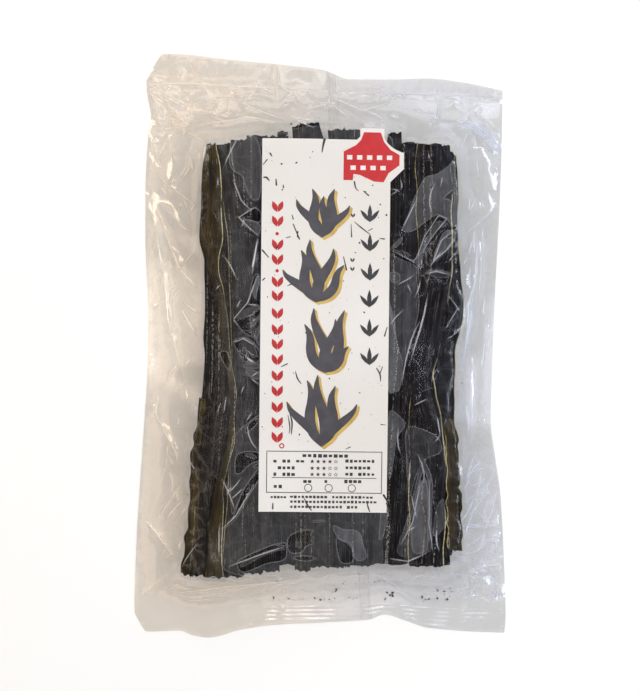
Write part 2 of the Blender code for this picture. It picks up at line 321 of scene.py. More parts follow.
# the strips that show, lowest first: each has its middle line and its width as (y, value), its foot
# and head, how brown it is, how bright its left and right rims are, how far its edges curl up (below
# 0 its middle stands up), and how much its head end is pleated
topStrips = [
    {"line": [(-126, 3), (0, 2), (90, -3), (125, -7.8)], "width": [(-126, 22), (90, 18), (125, 15.4)],
     "foot": -125, "head": 124.6, "tone": 0.0, "rims": (0, 0.6), "cup": -1.2, "pleat": 2.2},
    {"line": [(-124, -19), (0, -21), (118, -25.6)], "width": [(-124, 18), (118, 14)],
     "foot": -122, "head": 117.6, "tone": 0.05, "rims": (0.4, 0), "cup": -1.4, "pleat": 1.2},
    {"line": [(-127, 24), (0, 24), (118, 28)], "width": [(-127, 15), (118, 16)],
     "foot": -124, "head": 121, "tone": 0.1, "rims": (0, 0.3), "cup": -1.2, "pleat": 1.8},
    {"line": [(-127, -10), (0, -9), (100, -7), (126, -7)], "width": [(-127, 10), (100, 10), (126, 9)],
     "foot": -126.5, "head": 124.4, "tone": 0.35, "rims": (0.7, 0.2), "cup": -0.9, "pleat": 1.6},
    {"line": [(-127, 13), (0, 12), (120, 12.4)], "width": [(-127, 9), (120, 15)],
     "foot": -124.5, "head": 121.4, "tone": 0.2, "rims": (0.2, 0.9), "cup": -0.8, "pleat": 1.8},
    {"line": [(90, -21.4), (121, -21.4)], "width": [(90, 6), (121, 5)],
     "foot": 90, "head": 121, "tone": 0.3, "rims": (0.2, 0.4), "cup": -0.8, "pleat": 0.8},
    {"line": [(-126, -30), (-30, -35), (116, -36)], "width": [(-126, 13), (0, 11), (116, 11)],
     "foot": -127, "head": 117.5, "tone": 0.0, "rims": (0.3, 0), "cup": -1.5, "pleat": 1.6},
    {"line": [(-128, -38), (-60, -41), (0, -42), (112, -45)], "width": [(-128, 11), (0, 9), (112, 9)],
     "foot": -128.5, "head": 115.5, "tone": 0.15, "rims": (0, 0.5), "cup": -1.1, "pleat": 1.6},
    {"line": [(-130, -49), (-98, -48), (-30, -46.5), (60, -48), (112, -53)],
     "width": [(-130, 13), (-98, 10), (0, 7), (60, 8), (112, 8.5)],
     "foot": -130, "head": 113, "tone": 0.0, "rims": (1.0, 0), "cup": -0.8, "pleat": 0.6},
    {"line": [(-127, 36), (-60, 39), (20, 42), (110, 42)], "width": [(-127, 12), (110, 8)],
     "foot": -123.5, "head": 119.5, "tone": 0.1, "rims": (0, 0.8), "cup": -1.1, "pleat": 1.4},
    {"line": [(-130, -69), (-95, -67), (-60, -64), (-20, -60), (30, -59.5), (108, -59)],
     "width": [(-130, 15), (-112, 14), (-90, 12), (-60, 14), (-20, 13), (30, 11), (108, 10)],
     "foot": -130, "head": 104, "tone": 0.1, "rims": (0.9, 0), "cup": 0.9, "pleat": 0.2},
    {"line": [(-130, -75), (-100, -72), (-60, -70), (-30, -66)],
     "width": [(-130, 9), (-100, 6.5), (-60, 5), (-30, 3)],
     "foot": -129.5, "head": -30, "tone": 1.0, "rims": (0.9, 0.5), "cup": 0.4, "pleat": 0.0},
    {"line": [(-126, 70), (-75, 72), (-10, 71.5), (20, 76), (60, 73), (108, 73.5)],
     "width": [(-126, 9), (-75, 10), (20, 10), (108, 9)],
     "foot": -119, "head": 108, "tone": 0.15, "rims": (0.8, 1.0), "cup": -0.8, "pleat": 0.3},
    {"line": [(-126, 47), (-60, 49), (-20, 50), (30, 51), (108, 50)],
     "width": [(-126, 9), (-20, 7), (108, 8)],
     "foot": -122.5, "head": 114, "tone": 0.1, "rims": (0.2, 0.3), "cup": 0.9, "pleat": 0.9},
    {"line": [(-126, 54), (-60, 54), (-10, 55), (30, 58), (108, 57)],
     "width": [(-126, 9), (-20, 7), (108, 6)],
     "foot": -124, "head": 113, "tone": 0.15, "rims": (1.0, 0.0), "cup": 0.6, "pleat": 0.6},
    {"line": [(-130, -59.5), (-110, -58.8), (-85, -57.3), (-68, -53.5), (-56, -51), (-40, -49.5),
              (-20, -49.3), (-7, -51.5), (8, -53), (18, -54), (28, -56), (41, -60.4), (60, -61),
              (85, -60.6), (112, -60.9)],
     "width": [(-130, 9), (-110, 7.4), (-85, 6), (-68, 4.5), (-40, 3.6), (-7, 4), (28, 5.4), (41, 7),
               (50, 9.4), (60, 13), (71, 13), (85, 11.2), (100, 9.8), (112, 5.4)],
     "foot": -130, "head": 113, "tone": 0.75, "rims": (0.8, 1.0), "cup": 0.6, "pleat": 0.2},
    {"line": [(-126, 62.5), (-98, 65), (-87, 62.8), (-70, 64.4), (-42, 62.2), (-28, 58.4), (-17, 57.2),
              (-6, 59.6), (8, 62.2), (17, 63.3), (31, 65.5), (45, 67.8), (112, 66.5)],
     "width": [(-126, 13), (-30, 14), (30, 14), (112, 15)],
     "foot": -123.5, "head": 112, "tone": 0.05, "rims": (0.3, 1.0), "cup": -1.1, "pleat": 0.4},
    {"line": [(-114, 76), (-60, 74.5), (-42, 72.5)], "width": [(-114, 8.5), (-60, 8), (-42, 5)],
     "foot": -115, "head": -42, "tone": 1.0, "rims": (1.0, 0.4), "cup": 0.5, "pleat": 0.0},
]


class Pile:
    def __init__(self, cell, bed):
        self.cell = cell
        self.xs = np.arange(bagLow[0], bagHigh[0] + cell, cell)
        self.ys = np.arange(bagLow[1], bagHigh[1] + cell, cell)
        self.heights = np.full((len(self.ys), len(self.xs)), float(bed))

    def place(self, x, y):
        column = np.clip((x - self.xs[0]) / self.cell, 0, len(self.xs) - 1.001)
        row = np.clip((y - self.ys[0]) / self.cell, 0, len(self.ys) - 1.001)
        return column, row

    def at(self, x, y):
        column, row = self.place(x, y)
        j, i = column.astype(int), row.astype(int)
        u, v = column - j, row - i
        h = self.heights
        lower = h[i, j] * (1 - u) + h[i, j + 1] * u
        upper = h[i + 1, j] * (1 - u) + h[i + 1, j + 1] * u
        return lower * (1 - v) + upper * v

    def cover(self, x, y, top):
        for u, v in product(np.linspace(0, 1, 4), repeat=2):
            def inside(field):
                lower = field[:-1, :-1] * (1 - u) + field[:-1, 1:] * u
                upper = field[1:, :-1] * (1 - u) + field[1:, 1:] * u
                return lower * (1 - v) + upper * v
            column, row = self.place(inside(x), inside(y))
            cells = (np.rint(row).astype(int), np.rint(column).astype(int))
            np.maximum.at(self.heights, cells, inside(top))


def rolling(values, reach, pick):
    # pick(...) over a window that reaches this many rows to each side
    padded = np.pad(values, reach, mode="edge")
    windows = np.lib.stride_tricks.sliding_window_view(padded, 2 * reach + 1)
    return pick(windows, axis=1)


def layStrip(pile, strip, rows, columnWidth, rng):
    # a stiff strip put down on the pile; returns its underside as a lattice with its attributes
    foot, head = strip["foot"], strip["head"]
    q = np.linspace(0, 1, rows)
    y = foot + (head - foot) * q
    x = through(strip["line"], y)
    width = through(strip["width"], y)
    columns = max(4, int(width.max() / columnWidth)) + 1
    v = np.linspace(-1, 1, columns)
    waver = 1.9 / width
    leftEdge = 1 + waver * wander(rng, 20, q)
    rightEdge = 1 + waver * wander(rng, 20, q)
    reach = np.where(v < 0, leftEdge[:, None], rightEdge[:, None]) * v * width[:, None] / 2
    lean = np.gradient(x, y)[:, None]
    turn = np.sqrt(1 + lean ** 2)
    gridX = x[:, None] + reach / turn
    gridY = y[:, None] - reach * lean / turn
    gridY[0] += rng.uniform(-1.3, 0.6, columns)
    gridY[-1] += rng.uniform(-0.6, 1.0, columns)
    bed = pile.at(gridX, gridY)

    curl = strip["cup"] * (1 + 0.35 * wander(rng, 9, q))[:, None] * v ** 2
    curl += 0.5 * wander(rng, 14, q)[:, None] * np.maximum(v, 0) ** 3
    curl += 0.5 * wander(rng, 14, q)[:, None] * np.maximum(-v, 0) ** 3
    atHead = ease((y - head + 22) / 22)[:, None]
    curl += strip["pleat"] * atHead * np.abs(np.sin(v * columns * 0.33 + rng.uniform(0, 3)))
    lift = strip["pleat"] * 0.8 * atHead

    middle = columns // 2
    tilt = (bed[:, middle:].mean(axis=1) - bed[:, :middle + 1].mean(axis=1)) / (width / 2)
    tilt = rolling(np.clip(tilt, -0.3, 0.3), rows // 9, np.mean)
    flat = tilt[:, None] * reach + curl + lift
    rest = (bed - flat).max(axis=1)
    rest = rolling(rolling(rest, rows // 22, np.max), rows // 16, np.mean)
    under = rest[:, None] + flat + kelp["gap"]
    under = np.maximum(under, bed + kelp["gap"])
    thick = strip.get("thickness", kelp["thickness"]) * (1 - 0.72 * np.abs(v) ** 3)[None, :]
    thick = thick * (1 + 0.1 * wander(rng, 8, q))[:, None]
    pile.cover(gridX, gridY, under + thick)

    seed = rng.uniform(0, 100)
    lay = np.stack([gridY - foot, reach, np.full_like(reach, seed)], axis=-1)
    left, right = strip["rims"]
    edge = np.where(v < 0, left, right)[None, :] * np.abs(v)[None, :] + 0 * reach
    tone = np.full_like(reach, strip["tone"])
    return {"x": gridX, "y": gridY, "z": under, "thick": thick, "lay": lay, "edge": edge, "tone": tone}


def hiddenStrips(rng):
    # layers of strips that the ones on top lie on; each layer is narrower than the one below
    strips = []
    for layer in range(kelp["hiddenLayers"]):
        inset = np.interp(layer / (kelp["hiddenLayers"] - 1), (0, 1), kelp["hiddenSides"])
        for share in rng.permutation(np.linspace(inset, 1 - inset, kelp["hiddenAcross"])):
            wide = rng.uniform(*kelp["hiddenWidth"])
            foot = kelp["foot"] + rng.uniform(-2.5, 3)
            head = kelp["head"] + rng.uniform(-6, 3)
            line = []
            for y, waver in ((foot, 3), (-60, 1), (0, 2), (60, 1), (head, 3)):
                left = through(kelp["leftSide"], y) + wide / 2
                right = through(kelp["rightSide"], y) - wide / 2
                middle = left + share * (right - left) + rng.uniform(-waver, waver)
                line.append((y, float(np.clip(middle, left, right))))
            strips.append({
                "line": line, "width": [(foot, wide * rng.uniform(0.85, 1.0)), (head, wide)],
                "foot": foot, "head": head, "tone": rng.uniform(0, 0.6) ** 2,
                "rims": rng.choice([0, 0.3, 0.9], 2),
                "cup": rng.uniform(-1.0, 1.0), "pleat": rng.uniform(0.2, 1.0)})
    return strips


def latticeMesh(name, lattices):
    points, faces, fields, start = [], [], {}, 0
    for lattice in lattices:
        rows, columns = lattice["x"].shape
        points.append(np.stack([lattice["x"], lattice["y"], lattice["z"]], axis=-1).reshape(-1, 3))
        for i, j in product(range(rows - 1), range(columns - 1)):
            a = start + i * columns + j
            faces.append((a, a + 1, a + columns + 1, a + columns))
        for key in ("thick", "lay", "edge", "tone"):
            values = np.asarray(lattice[key])
            values = values.reshape(-1, 3) if key == "lay" else values.reshape(-1)
            fields.setdefault(key, []).append(values)
        start += rows * columns
    fields = {key: np.concatenate(values) for key, values in fields.items()}
    return meshObject(name, np.concatenate(points), faces, fields)


def thickenTree():
    # gives sheets their thickness: extrudes them upwards, ridges the top, and closes the underside
    group, tree, given = geometryTree("thickenSheets", {
        "Ridge Height": ("NodeSocketFloat", 0.0), "Ridge Spacing": ("NodeSocketFloat", 1.0),
        "Ridge Length": ("NodeSocketFloat", 40.0), "Material": ("NodeSocketMaterial", None)})
    thick = tree.add("GeometryNodeInputNamedAttribute", {"data_type": "FLOAT"}, {"Name": "thick"})
    lay = tree.add("GeometryNodeInputNamedAttribute", {"data_type": "FLOAT_VECTOR"}, {"Name": "lay"})
    parts = tree.add("ShaderNodeSeparateXYZ", None, {0: lay})
    place = tree.vector(parts / given["Ridge Length"], parts.part("Y") / given["Ridge Spacing"],
                        parts.part("Z"))
    ridges = tree.noise(place, 1.0, 2.0) - 0.5
    raised = thick * mm * (1 + ridges * given["Ridge Height"])
    extruded = tree.add("GeometryNodeExtrudeMesh", None, {
        "Mesh": given["Geometry"], "Offset Scale": 0.0, "Individual": False})
    lifted = tree.add("GeometryNodeSetPosition", None, {
        "Geometry": extruded, "Selection": extruded.part("Top"), "Offset": tree.vector(0.0, 0.0, raised)})
    under = tree.add("GeometryNodeFlipFaces", None, {"Mesh": given["Geometry"]})
    joined = tree.add("GeometryNodeJoinGeometry", None, {"Geometry": [lifted, under]})
    closed = tree.add("GeometryNodeMergeByDistance", None, {"Geometry": joined, "Distance": 1e-6})
    finishTree(tree, closed, given["Material"])
    return group


def kelpLook():
    material, tree = newMaterial("driedKelp")
    lay = tree.add("ShaderNodeAttribute", {"attribute_name": "lay"}, out="Vector")
    edge = tree.add("ShaderNodeAttribute", {"attribute_name": "edge"}, out="Fac")
    tone = tree.add("ShaderNodeAttribute", {"attribute_name": "tone"}, out="Fac")
    parts = tree.add("ShaderNodeSeparateXYZ", None, {0: lay})
    along, across, seed = parts, parts.part("Y"), parts.part("Z")
    grain = tree.noise(tree.vector(along * 0.02, across * 1.1, seed), 1.0, 4.0, 0.62)
    blotch = tree.noise(tree.vector(along * 0.035, across * 0.16, seed + 7), 1.0, 3.0)
    dust = tree.noise(tree.vector(along * 0.16, across * 1.9, seed + 3), 1.0, 3.0, 0.65)
    fleck = tree.noise(tree.vector(along * 0.9, across * 1.6, seed + 5), 1.0, 2.0, 0.6)
    cast = tree.noise(tree.vector(seed * 3.1, seed * 1.7, 0.0), 1.0, 0.0)
    dark = tree.mix(cast.over(0.35, 0.65), linear(16, 14, 20), linear(22, 18, 16))
    dark = tree.mix(grain.over(0.42, 0.7), dark, linear(42, 40, 43))
    dark = tree.mix(dust.over(0.54, 0.7) * 0.4, dark, linear(56, 53, 56))
    brown = tree.mix(blotch.over(0.3, 0.7), linear(34, 28, 20), linear(70, 58, 28))
    brown = tree.mix(grain.over(0.45, 0.7), brown, linear(34, 28, 22))
    tinted = (tone + (blotch - 0.5) * 0.5).over(0.2, 0.9)
    body = tree.mix(tinted, dark, brown)
    rim = edge.over(0.885, 0.95) * blotch.over(0.4, 0.52)
    body = tree.mix(rim * 0.95, body, tree.mix(fleck.over(0.4, 0.6), linear(164, 146, 80), linear(226, 218, 184)))
    powder = dust.over(0.57, 0.68) * blotch.over(0.42, 0.6) * grain.over(0.4, 0.6)
    body = tree.mix(powder * 0.35, body, linear(176, 172, 166))
    saltLine = tree.noise(tree.vector(along * 0.008, across * 0.5, seed + 11), 1.0, 2.0).over(0.62, 0.66)
    body = tree.mix(saltLine * fleck.over(0.48, 0.62) * 0.5, body, linear(196, 192, 186))
    relief = grain * 0.7 + dust * 0.3
    bump = tree.add("ShaderNodeBump", None, {"Strength": 0.45, "Distance": 0.0004, "Height": relief})
    rough = 0.46 + dust * 0.25
    shader = tree.add("ShaderNodeBsdfPrincipled", None, {
        "Base Color": body, "Roughness": rough, "Normal": bump, "Specular IOR Level": 0.05})
    tree.feed(tree.output.inputs[0], shader)
    return material


kelpMaterial = kelpLook()
thicken = thickenTree()
pile = Pile(kelp["cell"], kelp["bed"])
kelpRandom = np.random.default_rng(kelp["seed"])
hiddenLattices = [layStrip(pile, strip, kelp["hiddenRows"], kelp["hiddenColumnWidth"], kelpRandom)
                  for strip in hiddenStrips(kelpRandom)]
topLattices = [layStrip(pile, strip, kelp["rows"], kelp["columnWidth"], kelpRandom) for strip in topStrips]

# the pile is pressed to the height that the pack really has
pressed = (kelp["pileTop"] - kelp["bed"]) / (np.percentile(pile.heights, 97) - kelp["bed"])
print("kelp pile pressed to", round(pressed, 2), "of its loose height")
for lattice in hiddenLattices + topLattices:
    lattice["z"] = kelp["bed"] + (lattice["z"] - kelp["bed"]) * pressed
    lattice["thick"] = lattice["thick"] * pressed
pile.heights = kelp["bed"] + (pile.heights - kelp["bed"]) * pressed

kelpPieces = []
for name, lattices in (("kelpTop", topLattices), ("kelpUnder", hiddenLattices)):
    piece = latticeMesh(name, lattices)
    grow(piece, thicken, {"Ridge Height": 0.7, "Ridge Spacing": 1.5, "Ridge Length": 60.0,
                          "Material": kelpMaterial})
    soften(piece, 40)
    kelpPieces.append(piece)
print("kelp strips:", [len(piece.data.polygons) for piece in kelpPieces])


# ---- the film: draped over the pile, then creased

label = {
    "centre": (2.6, 11.0),
    "size": (72.0, 209.4),
    "turn": math.radians(-0.65),
    "thickness": 0.16,
    "gap": 0.12,
    "badgeCentre": (28.2, 105.6),
    "badgeHalfWidth": 17.9,
}


def labelCover(x, y, spread):
    # 1 over the label, 0 farther from it than spread
    dx = np.maximum(np.abs(x - label["centre"][0]) - label["size"][0] / 2, 0)
    dy = np.maximum(np.abs(y - label["centre"][1]) - label["size"][1] / 2, 0)
    badge = np.hypot(x - label["badgeCentre"][0], y - label["badgeCentre"][1]) - label["badgeHalfWidth"]
    return ease(1 - np.minimum(np.hypot(dx, dy), np.maximum(badge, 0)) / spread)


film = {
    "cell": 2.0,
    "rounds": 900,
    "clearance": 0.9,
    "rimHeight": 1.0,
    "rimBulge": 1.1,
    "load": 0.03,
    "spacing": 1.7,
    "labelSpacing": 4.0,
    "foldStep": 1.6,
    "pinchWidth": 0.55,
    "facet": 11.0,
    "facetEdge": 0.5,
    "seed": 5,
    "ribPitch": 2.4,
    "ribDepth": 0.2,
    "touch": 0.4,
    "haze": 0.45,
    "hazeEdge": 0.4,
}


def blur(field, rounds):
    for _ in range(rounds):
        field = (field + np.roll(field, 1, 0) + np.roll(field, -1, 0)) / 3
        field = (field + np.roll(field, 1, 1) + np.roll(field, -1, 1)) / 3
    return field


def spread(field, rounds):
    for _ in range(rounds):
        field = np.max([np.roll(field, step, axis) for step in (-1, 0, 1) for axis in (0, 1)], axis=0)
    return field


def drapeFilm():
    # a tight skin over the strips, held down at the rim and in the seals
    grid = Pile(film["cell"], 0)
    x, y = np.meshgrid(grid.xs, grid.ys)
    offsets = (-1, 0, 1)
    obstacle = np.max([pile.at(x + a, y + b) for a, b in product(offsets, repeat=2)], axis=0)
    onStrips = obstacle > kelp["bed"] + 0.3
    obstacle = np.where(onStrips, obstacle + film["clearance"], 0)
    bridged = np.where(onStrips, blur(spread(obstacle, 3), 7), 0)
    underLabel = blur(spread(obstacle, 5), 12) * labelCover(x, y, 9)
    obstacle = np.maximum(obstacle, np.maximum(bridged, underLabel))
    foot = bagLow[1] + through(bagPlan["foot"], (x - bagLow[0]) / (bagHigh[0] - bagLow[0]))
    head = bagHigh[1] - through(bagPlan["head"], (x - bagLow[0]) / (bagHigh[0] - bagLow[0]))
    headSeal = through([(-100, 17), (0, 13), (104, 5)], x)
    held = ~insideRim(x, y) | (rimDistance(x, y) < 1.5) | (y - foot < bagPlan["footSeal"])
    held |= head - y < headSeal
    z = np.where(held, film["rimHeight"], obstacle)
    load = np.where(onStrips, film["load"] * 0.1, film["load"])
    for _ in range(film["rounds"]):
        mean = (np.roll(z, 1, 0) + np.roll(z, -1, 0) + np.roll(z, 1, 1) + np.roll(z, -1, 1)) / 4
        z = np.where(held, film["rimHeight"], np.maximum(obstacle, np.maximum(mean - load, 0.9)))
    grid.heights = blur(z, 1)
    loose = Pile(kelp["cell"], 0)
    covered = spread((pile.heights > kelp["bed"] + 0.3).astype(float), 1)
    loose.heights = 1 - blur(covered, 1)
    skin = Pile(kelp["cell"], 0)
    skin.heights = np.where(pile.heights > kelp["bed"] + 0.3, pile.heights, 0)
    skin.heights = blur(spread(skin.heights, 5), 5)
    return grid, loose, skin


drape, looseFilm, pileSkin = drapeFilm()

# creases that are easy to see: points along each, rise, how far its flanks reach, and its sharp pinch
creases = [
    # head end, left
    ([(-99, 150), (-69.5, 149.5), (-57, 148.5), (-34.5, 147.5), (-16, 146.5)], 0.7, 5, 0.12),
    ([(-99, 149.5), (-89.5, 144.5), (-76.5, 137)], 1.2, 6, 0.15),
    ([(-99, 148), (-89.5, 130)], 0.9, 5, 0.12),
    ([(-98.5, 147), (-85.5, 138), (-79.5, 131)], 0.8, 5, 0.12),
    ([(-56, 147.5), (-41, 142), (-25.5, 138)], 1.3, 4, 0.2),
    ([(-76.5, 137), (-64, 140), (-51.5, 141.5)], 1.2, 6, 0.15),
    ([(-67, 136), (-51.5, 141.5), (-52.5, 129.5), (-67, 136)], 0.8, 5, 0.12),
    ([(-50, 141), (-34, 133), (-20, 127)], 1.0, 6, 0.15),
    ([(-76.5, 137), (-59.5, 132)], 0.7, 4, 0.1),
    ([(-26.5, 161), (-25.5, 149.5), (-24.5, 138)], 0.9, 4, 0.2),
    ([(-23, 138), (-14, 146.5), (-8.5, 141.5), (-2, 136.5)], 1.1, 5, 0.15),
    ([(-14, 146.5), (5, 145)], 0.6, 4, 0.1),
    ([(-75.5, 124.5), (-46.5, 128), (-42, 129.5), (-22.5, 125.5)], 1.0, 5, 0.15),
    ([(-77, 122), (-66, 115.5)], 0.8, 4, 0.12),
    ([(-97, 115.5), (-92.5, 122), (-85.5, 124.5)], 0.8, 5, 0.12),
    ([(-97.5, 102.5), (-89, 93.5), (-69.5, 78.5)], 0.8, 6, 0.12),
    ([(-74, 109), (-71.5, 97.5)], 0.6, 4, 0.1),
    ([(-84, 133.5), (-75.5, 125.5)], 1.2, 4, 0.2),
    ([(-87, 126), (-74, 132.5)], 1.0, 4, 0.2),
    # left margin
    ([(-91.5, 91), (-87, 85.5)], 1.2, 4, 0.2),
    ([(-92, 81), (-83.5, 73.5), (-73.5, 63)], 1.3, 6, 0.15),
    ([(-98.5, 80), (-95, 70.5), (-92, 54), (-89.5, 42), (-88, 28.5), (-87, 14.5), (-83.5, 3.5), (-78, -19.5)],
     1.5, 5, 0.25),
    ([(-92.5, 77), (-86, 58), (-80, 43.5), (-67, 29.5)], 1.0, 5, 0.15),
    ([(-84.5, 55), (-77.5, 40.5)], 0.7, 4, 0.1),
    ([(-79.5, 21.5), (-70, 5.5)], 0.7, 4, 0.1),
    ([(-78, 24.5), (-68.5, 18)], 0.6, 4, 0.1),
    ([(-87, -18), (-81, -10.5)], 0.8, 4, 0.1),
    ([(-99, -30), (-89, -48.5), (-79, -65.5)], 0.9, 5, 0.12),
    # foot end, left
    ([(-78, -77.5), (-92.5, -99)], 0.9, 5, 0.12),
    ([(-100, -100.5), (-91.5, -109.5), (-83.5, -118.5), (-79.5, -121)], 1.3, 6, 0.15),
    ([(-91.5, -142.5), (-54, -136.5), (-23, -134), (4.5, -131)], 1.2, 4, 0.18),
    ([(-103, -144), (-84.5, -127)], 0.7, 5, 0.1),
    ([(-88.5, -147), (-46.5, -143)], 0.8, 4, 0.12),
    ([(-81.5, -145), (-55.5, -140.5), (-31, -135)], 0.8, 3, 0.12),
    ([(-104, -152.5), (-97.5, -149)], 0.9, 3, 0.2),
    ([(-20.5, -136.5), (-21, -146)], 1.4, 4, 0.2),
    # foot end, right
    ([(31, -128.5), (42, -137), (53.5, -145.5)], 1.5, 4, 0.25),
    ([(37, -131), (54.5, -147.5)], 0.8, 3, 0.15),
    ([(50, -128), (72.5, -136)], 0.9, 5, 0.12),
    ([(84, -122.5), (86, -140.5), (84, -157.5)], 1.2, 5, 0.2),
    ([(74, -117), (83, -121)], 0.8, 4, 0.12),
    ([(83, -98), (97, -82)], 0.8, 5, 0.15),
    ([(94.5, -104.5), (102, -79.5)], 0.8, 5, 0.15),
    ([(82.5, -103), (104, -103)], 0.9, 5, 0.15),
    ([(93.5, -105), (95.5, -123.5)], 0.8, 5, 0.15),
    ([(93.5, -109.5), (101.5, -113), (97, -122.5)], 0.7, 4, 0.12),
    ([(87, -128), (104, -125)], 1.0, 5, 0.2),
    ([(86, -126.5), (96.5, -137.5), (104, -140)], 1.0, 5, 0.2),
    ([(13.5, -130.5), (24.5, -130)], 0.7, 4, 0.12),
    # right margin
    ([(89, 55), (88, 36.5), (85, 28.5), (83.5, 22.5), (84, 10.5), (81.5, -1.5)], 2.0, 7, 0.2),
    ([(93, 70.5), (91.5, 46.5), (89.5, 22.5)], 0.8, 4, 0.12),
    ([(95.5, 88), (102, 80), (81.5, 62.5)], 0.9, 5, 0.12),
    ([(86, -1.5), (88, -26), (85, -54.5)], 1.2, 5, 0.15),
    # head end, right
    ([(7, 156.5), (5.5, 144), (3.5, 132)], 0.8, 3, 0.2),
    ([(15, 140.5), (47.5, 144)], 0.8, 4, 0.12),
    ([(5, 145), (47.5, 144), (67, 144), (103, 142)], 0.7, 4, 0.12),
    ([(6, 142.5), (24, 133.5), (45, 139.5)], 1.0, 5, 0.15),
    ([(6, 138.5), (15, 129.5)], 0.7, 4, 0.12),
    ([(32, 131), (36, 127)], 0.8, 4, 0.12),
    ([(67, 148), (67.5, 136.5), (63.5, 125), (62.5, 119.5)], 1.0, 4, 0.2),
    ([(68, 126.5), (90.5, 125), (103, 113.5)], 1.3, 6, 0.15),
    ([(86, 114), (102.5, 111.5)], 1.0, 5, 0.15),
    # over the strips
    ([(-48.5, 92.5), (-44, 81), (-39, 76)], 0.5, 4, 0.15),
    ([(-36, 77.5), (-45.5, 71.5), (-35, 61.5)], 0.8, 4, 0.22),
    ([(-35, 59), (-38, 40)], 0.6, 3, 0.25),
    ([(-35, 39), (-40.5, 24), (-48.5, 14.5), (-44, 9)], 0.7, 5, 0.2),
    ([(-48.5, 1.5), (-43, 4), (-36.5, 0)], 0.7, 4, 0.2),
    ([(-33.5, 22.5), (-40.5, 23)], 0.5, 3, 0.2),
    ([(-38.5, -17.5), (-33.5, -14)], 0.5, 3, 0.2),
    ([(-38.5, -18.5), (-33.5, -22.5)], 0.5, 3, 0.2),
    ([(38.5, 88.5), (44, 87), (38.5, 83.5)], 0.6, 3, 0.25),
    ([(39, 54), (52.5, 47), (54.5, 50), (58.5, 61), (66.5, 73), (71, 71), (64, 62.5), (56.5, 51.5)],
     0.8, 4, 0.25),
    ([(76.5, 65.5), (68, 59), (63.5, 47.5), (70.5, 53), (76, 61)], 0.7, 4, 0.15),
    ([(58.5, 40), (65, 41.5), (72, 40)], 0.6, 4, 0.2),
    ([(46, 65), (54, 81.5)], 0.6, 5, 0.15),
    ([(-51, -124), (-35.5, -118), (-20, -113)], 0.8, 6, 0.15),
    ([(-55.5, -103.5), (-47.5, -96), (-37, -78)], 0.7, 5, 0.15),
    ([(45.5, -112), (52, -99), (56.5, -75.5)], 0.8, 5, 0.2),
    ([(61.5, -75.5), (61, -100.5), (63.5, -116.5)], 0.8, 4, 0.2),
    ([(39, -120), (49.5, -121.5), (59, -117)], 0.7, 5, 0.15),
    ([(55.4, 12.8), (51, 3.3), (48.3, -6.9), (46.6, -15.7), (45.9, -21.8)], 0.3, 3, 0.25),
    ([(60.5, 29.1), (59.1, 21), (56.4, 10.1), (53, -0.8), (50.3, -10.9)], 0.25, 3, 0.2),
    ([(72, 27.7), (74.8, 24.4), (77.5, 21), (70.7, 10.1)], 0.3, 3, 0.25),
]


# a few of the foot seal's ribs are bent and catch the light; their creases also carry a painted highlight line
creases += [([(-24.6 - k, -145 - 2.4 * k), (-19.4 + 0.3 * k, -147.6 - 2.4 * k)], 0.2, 1.2, 0.3) for k in range(5)]
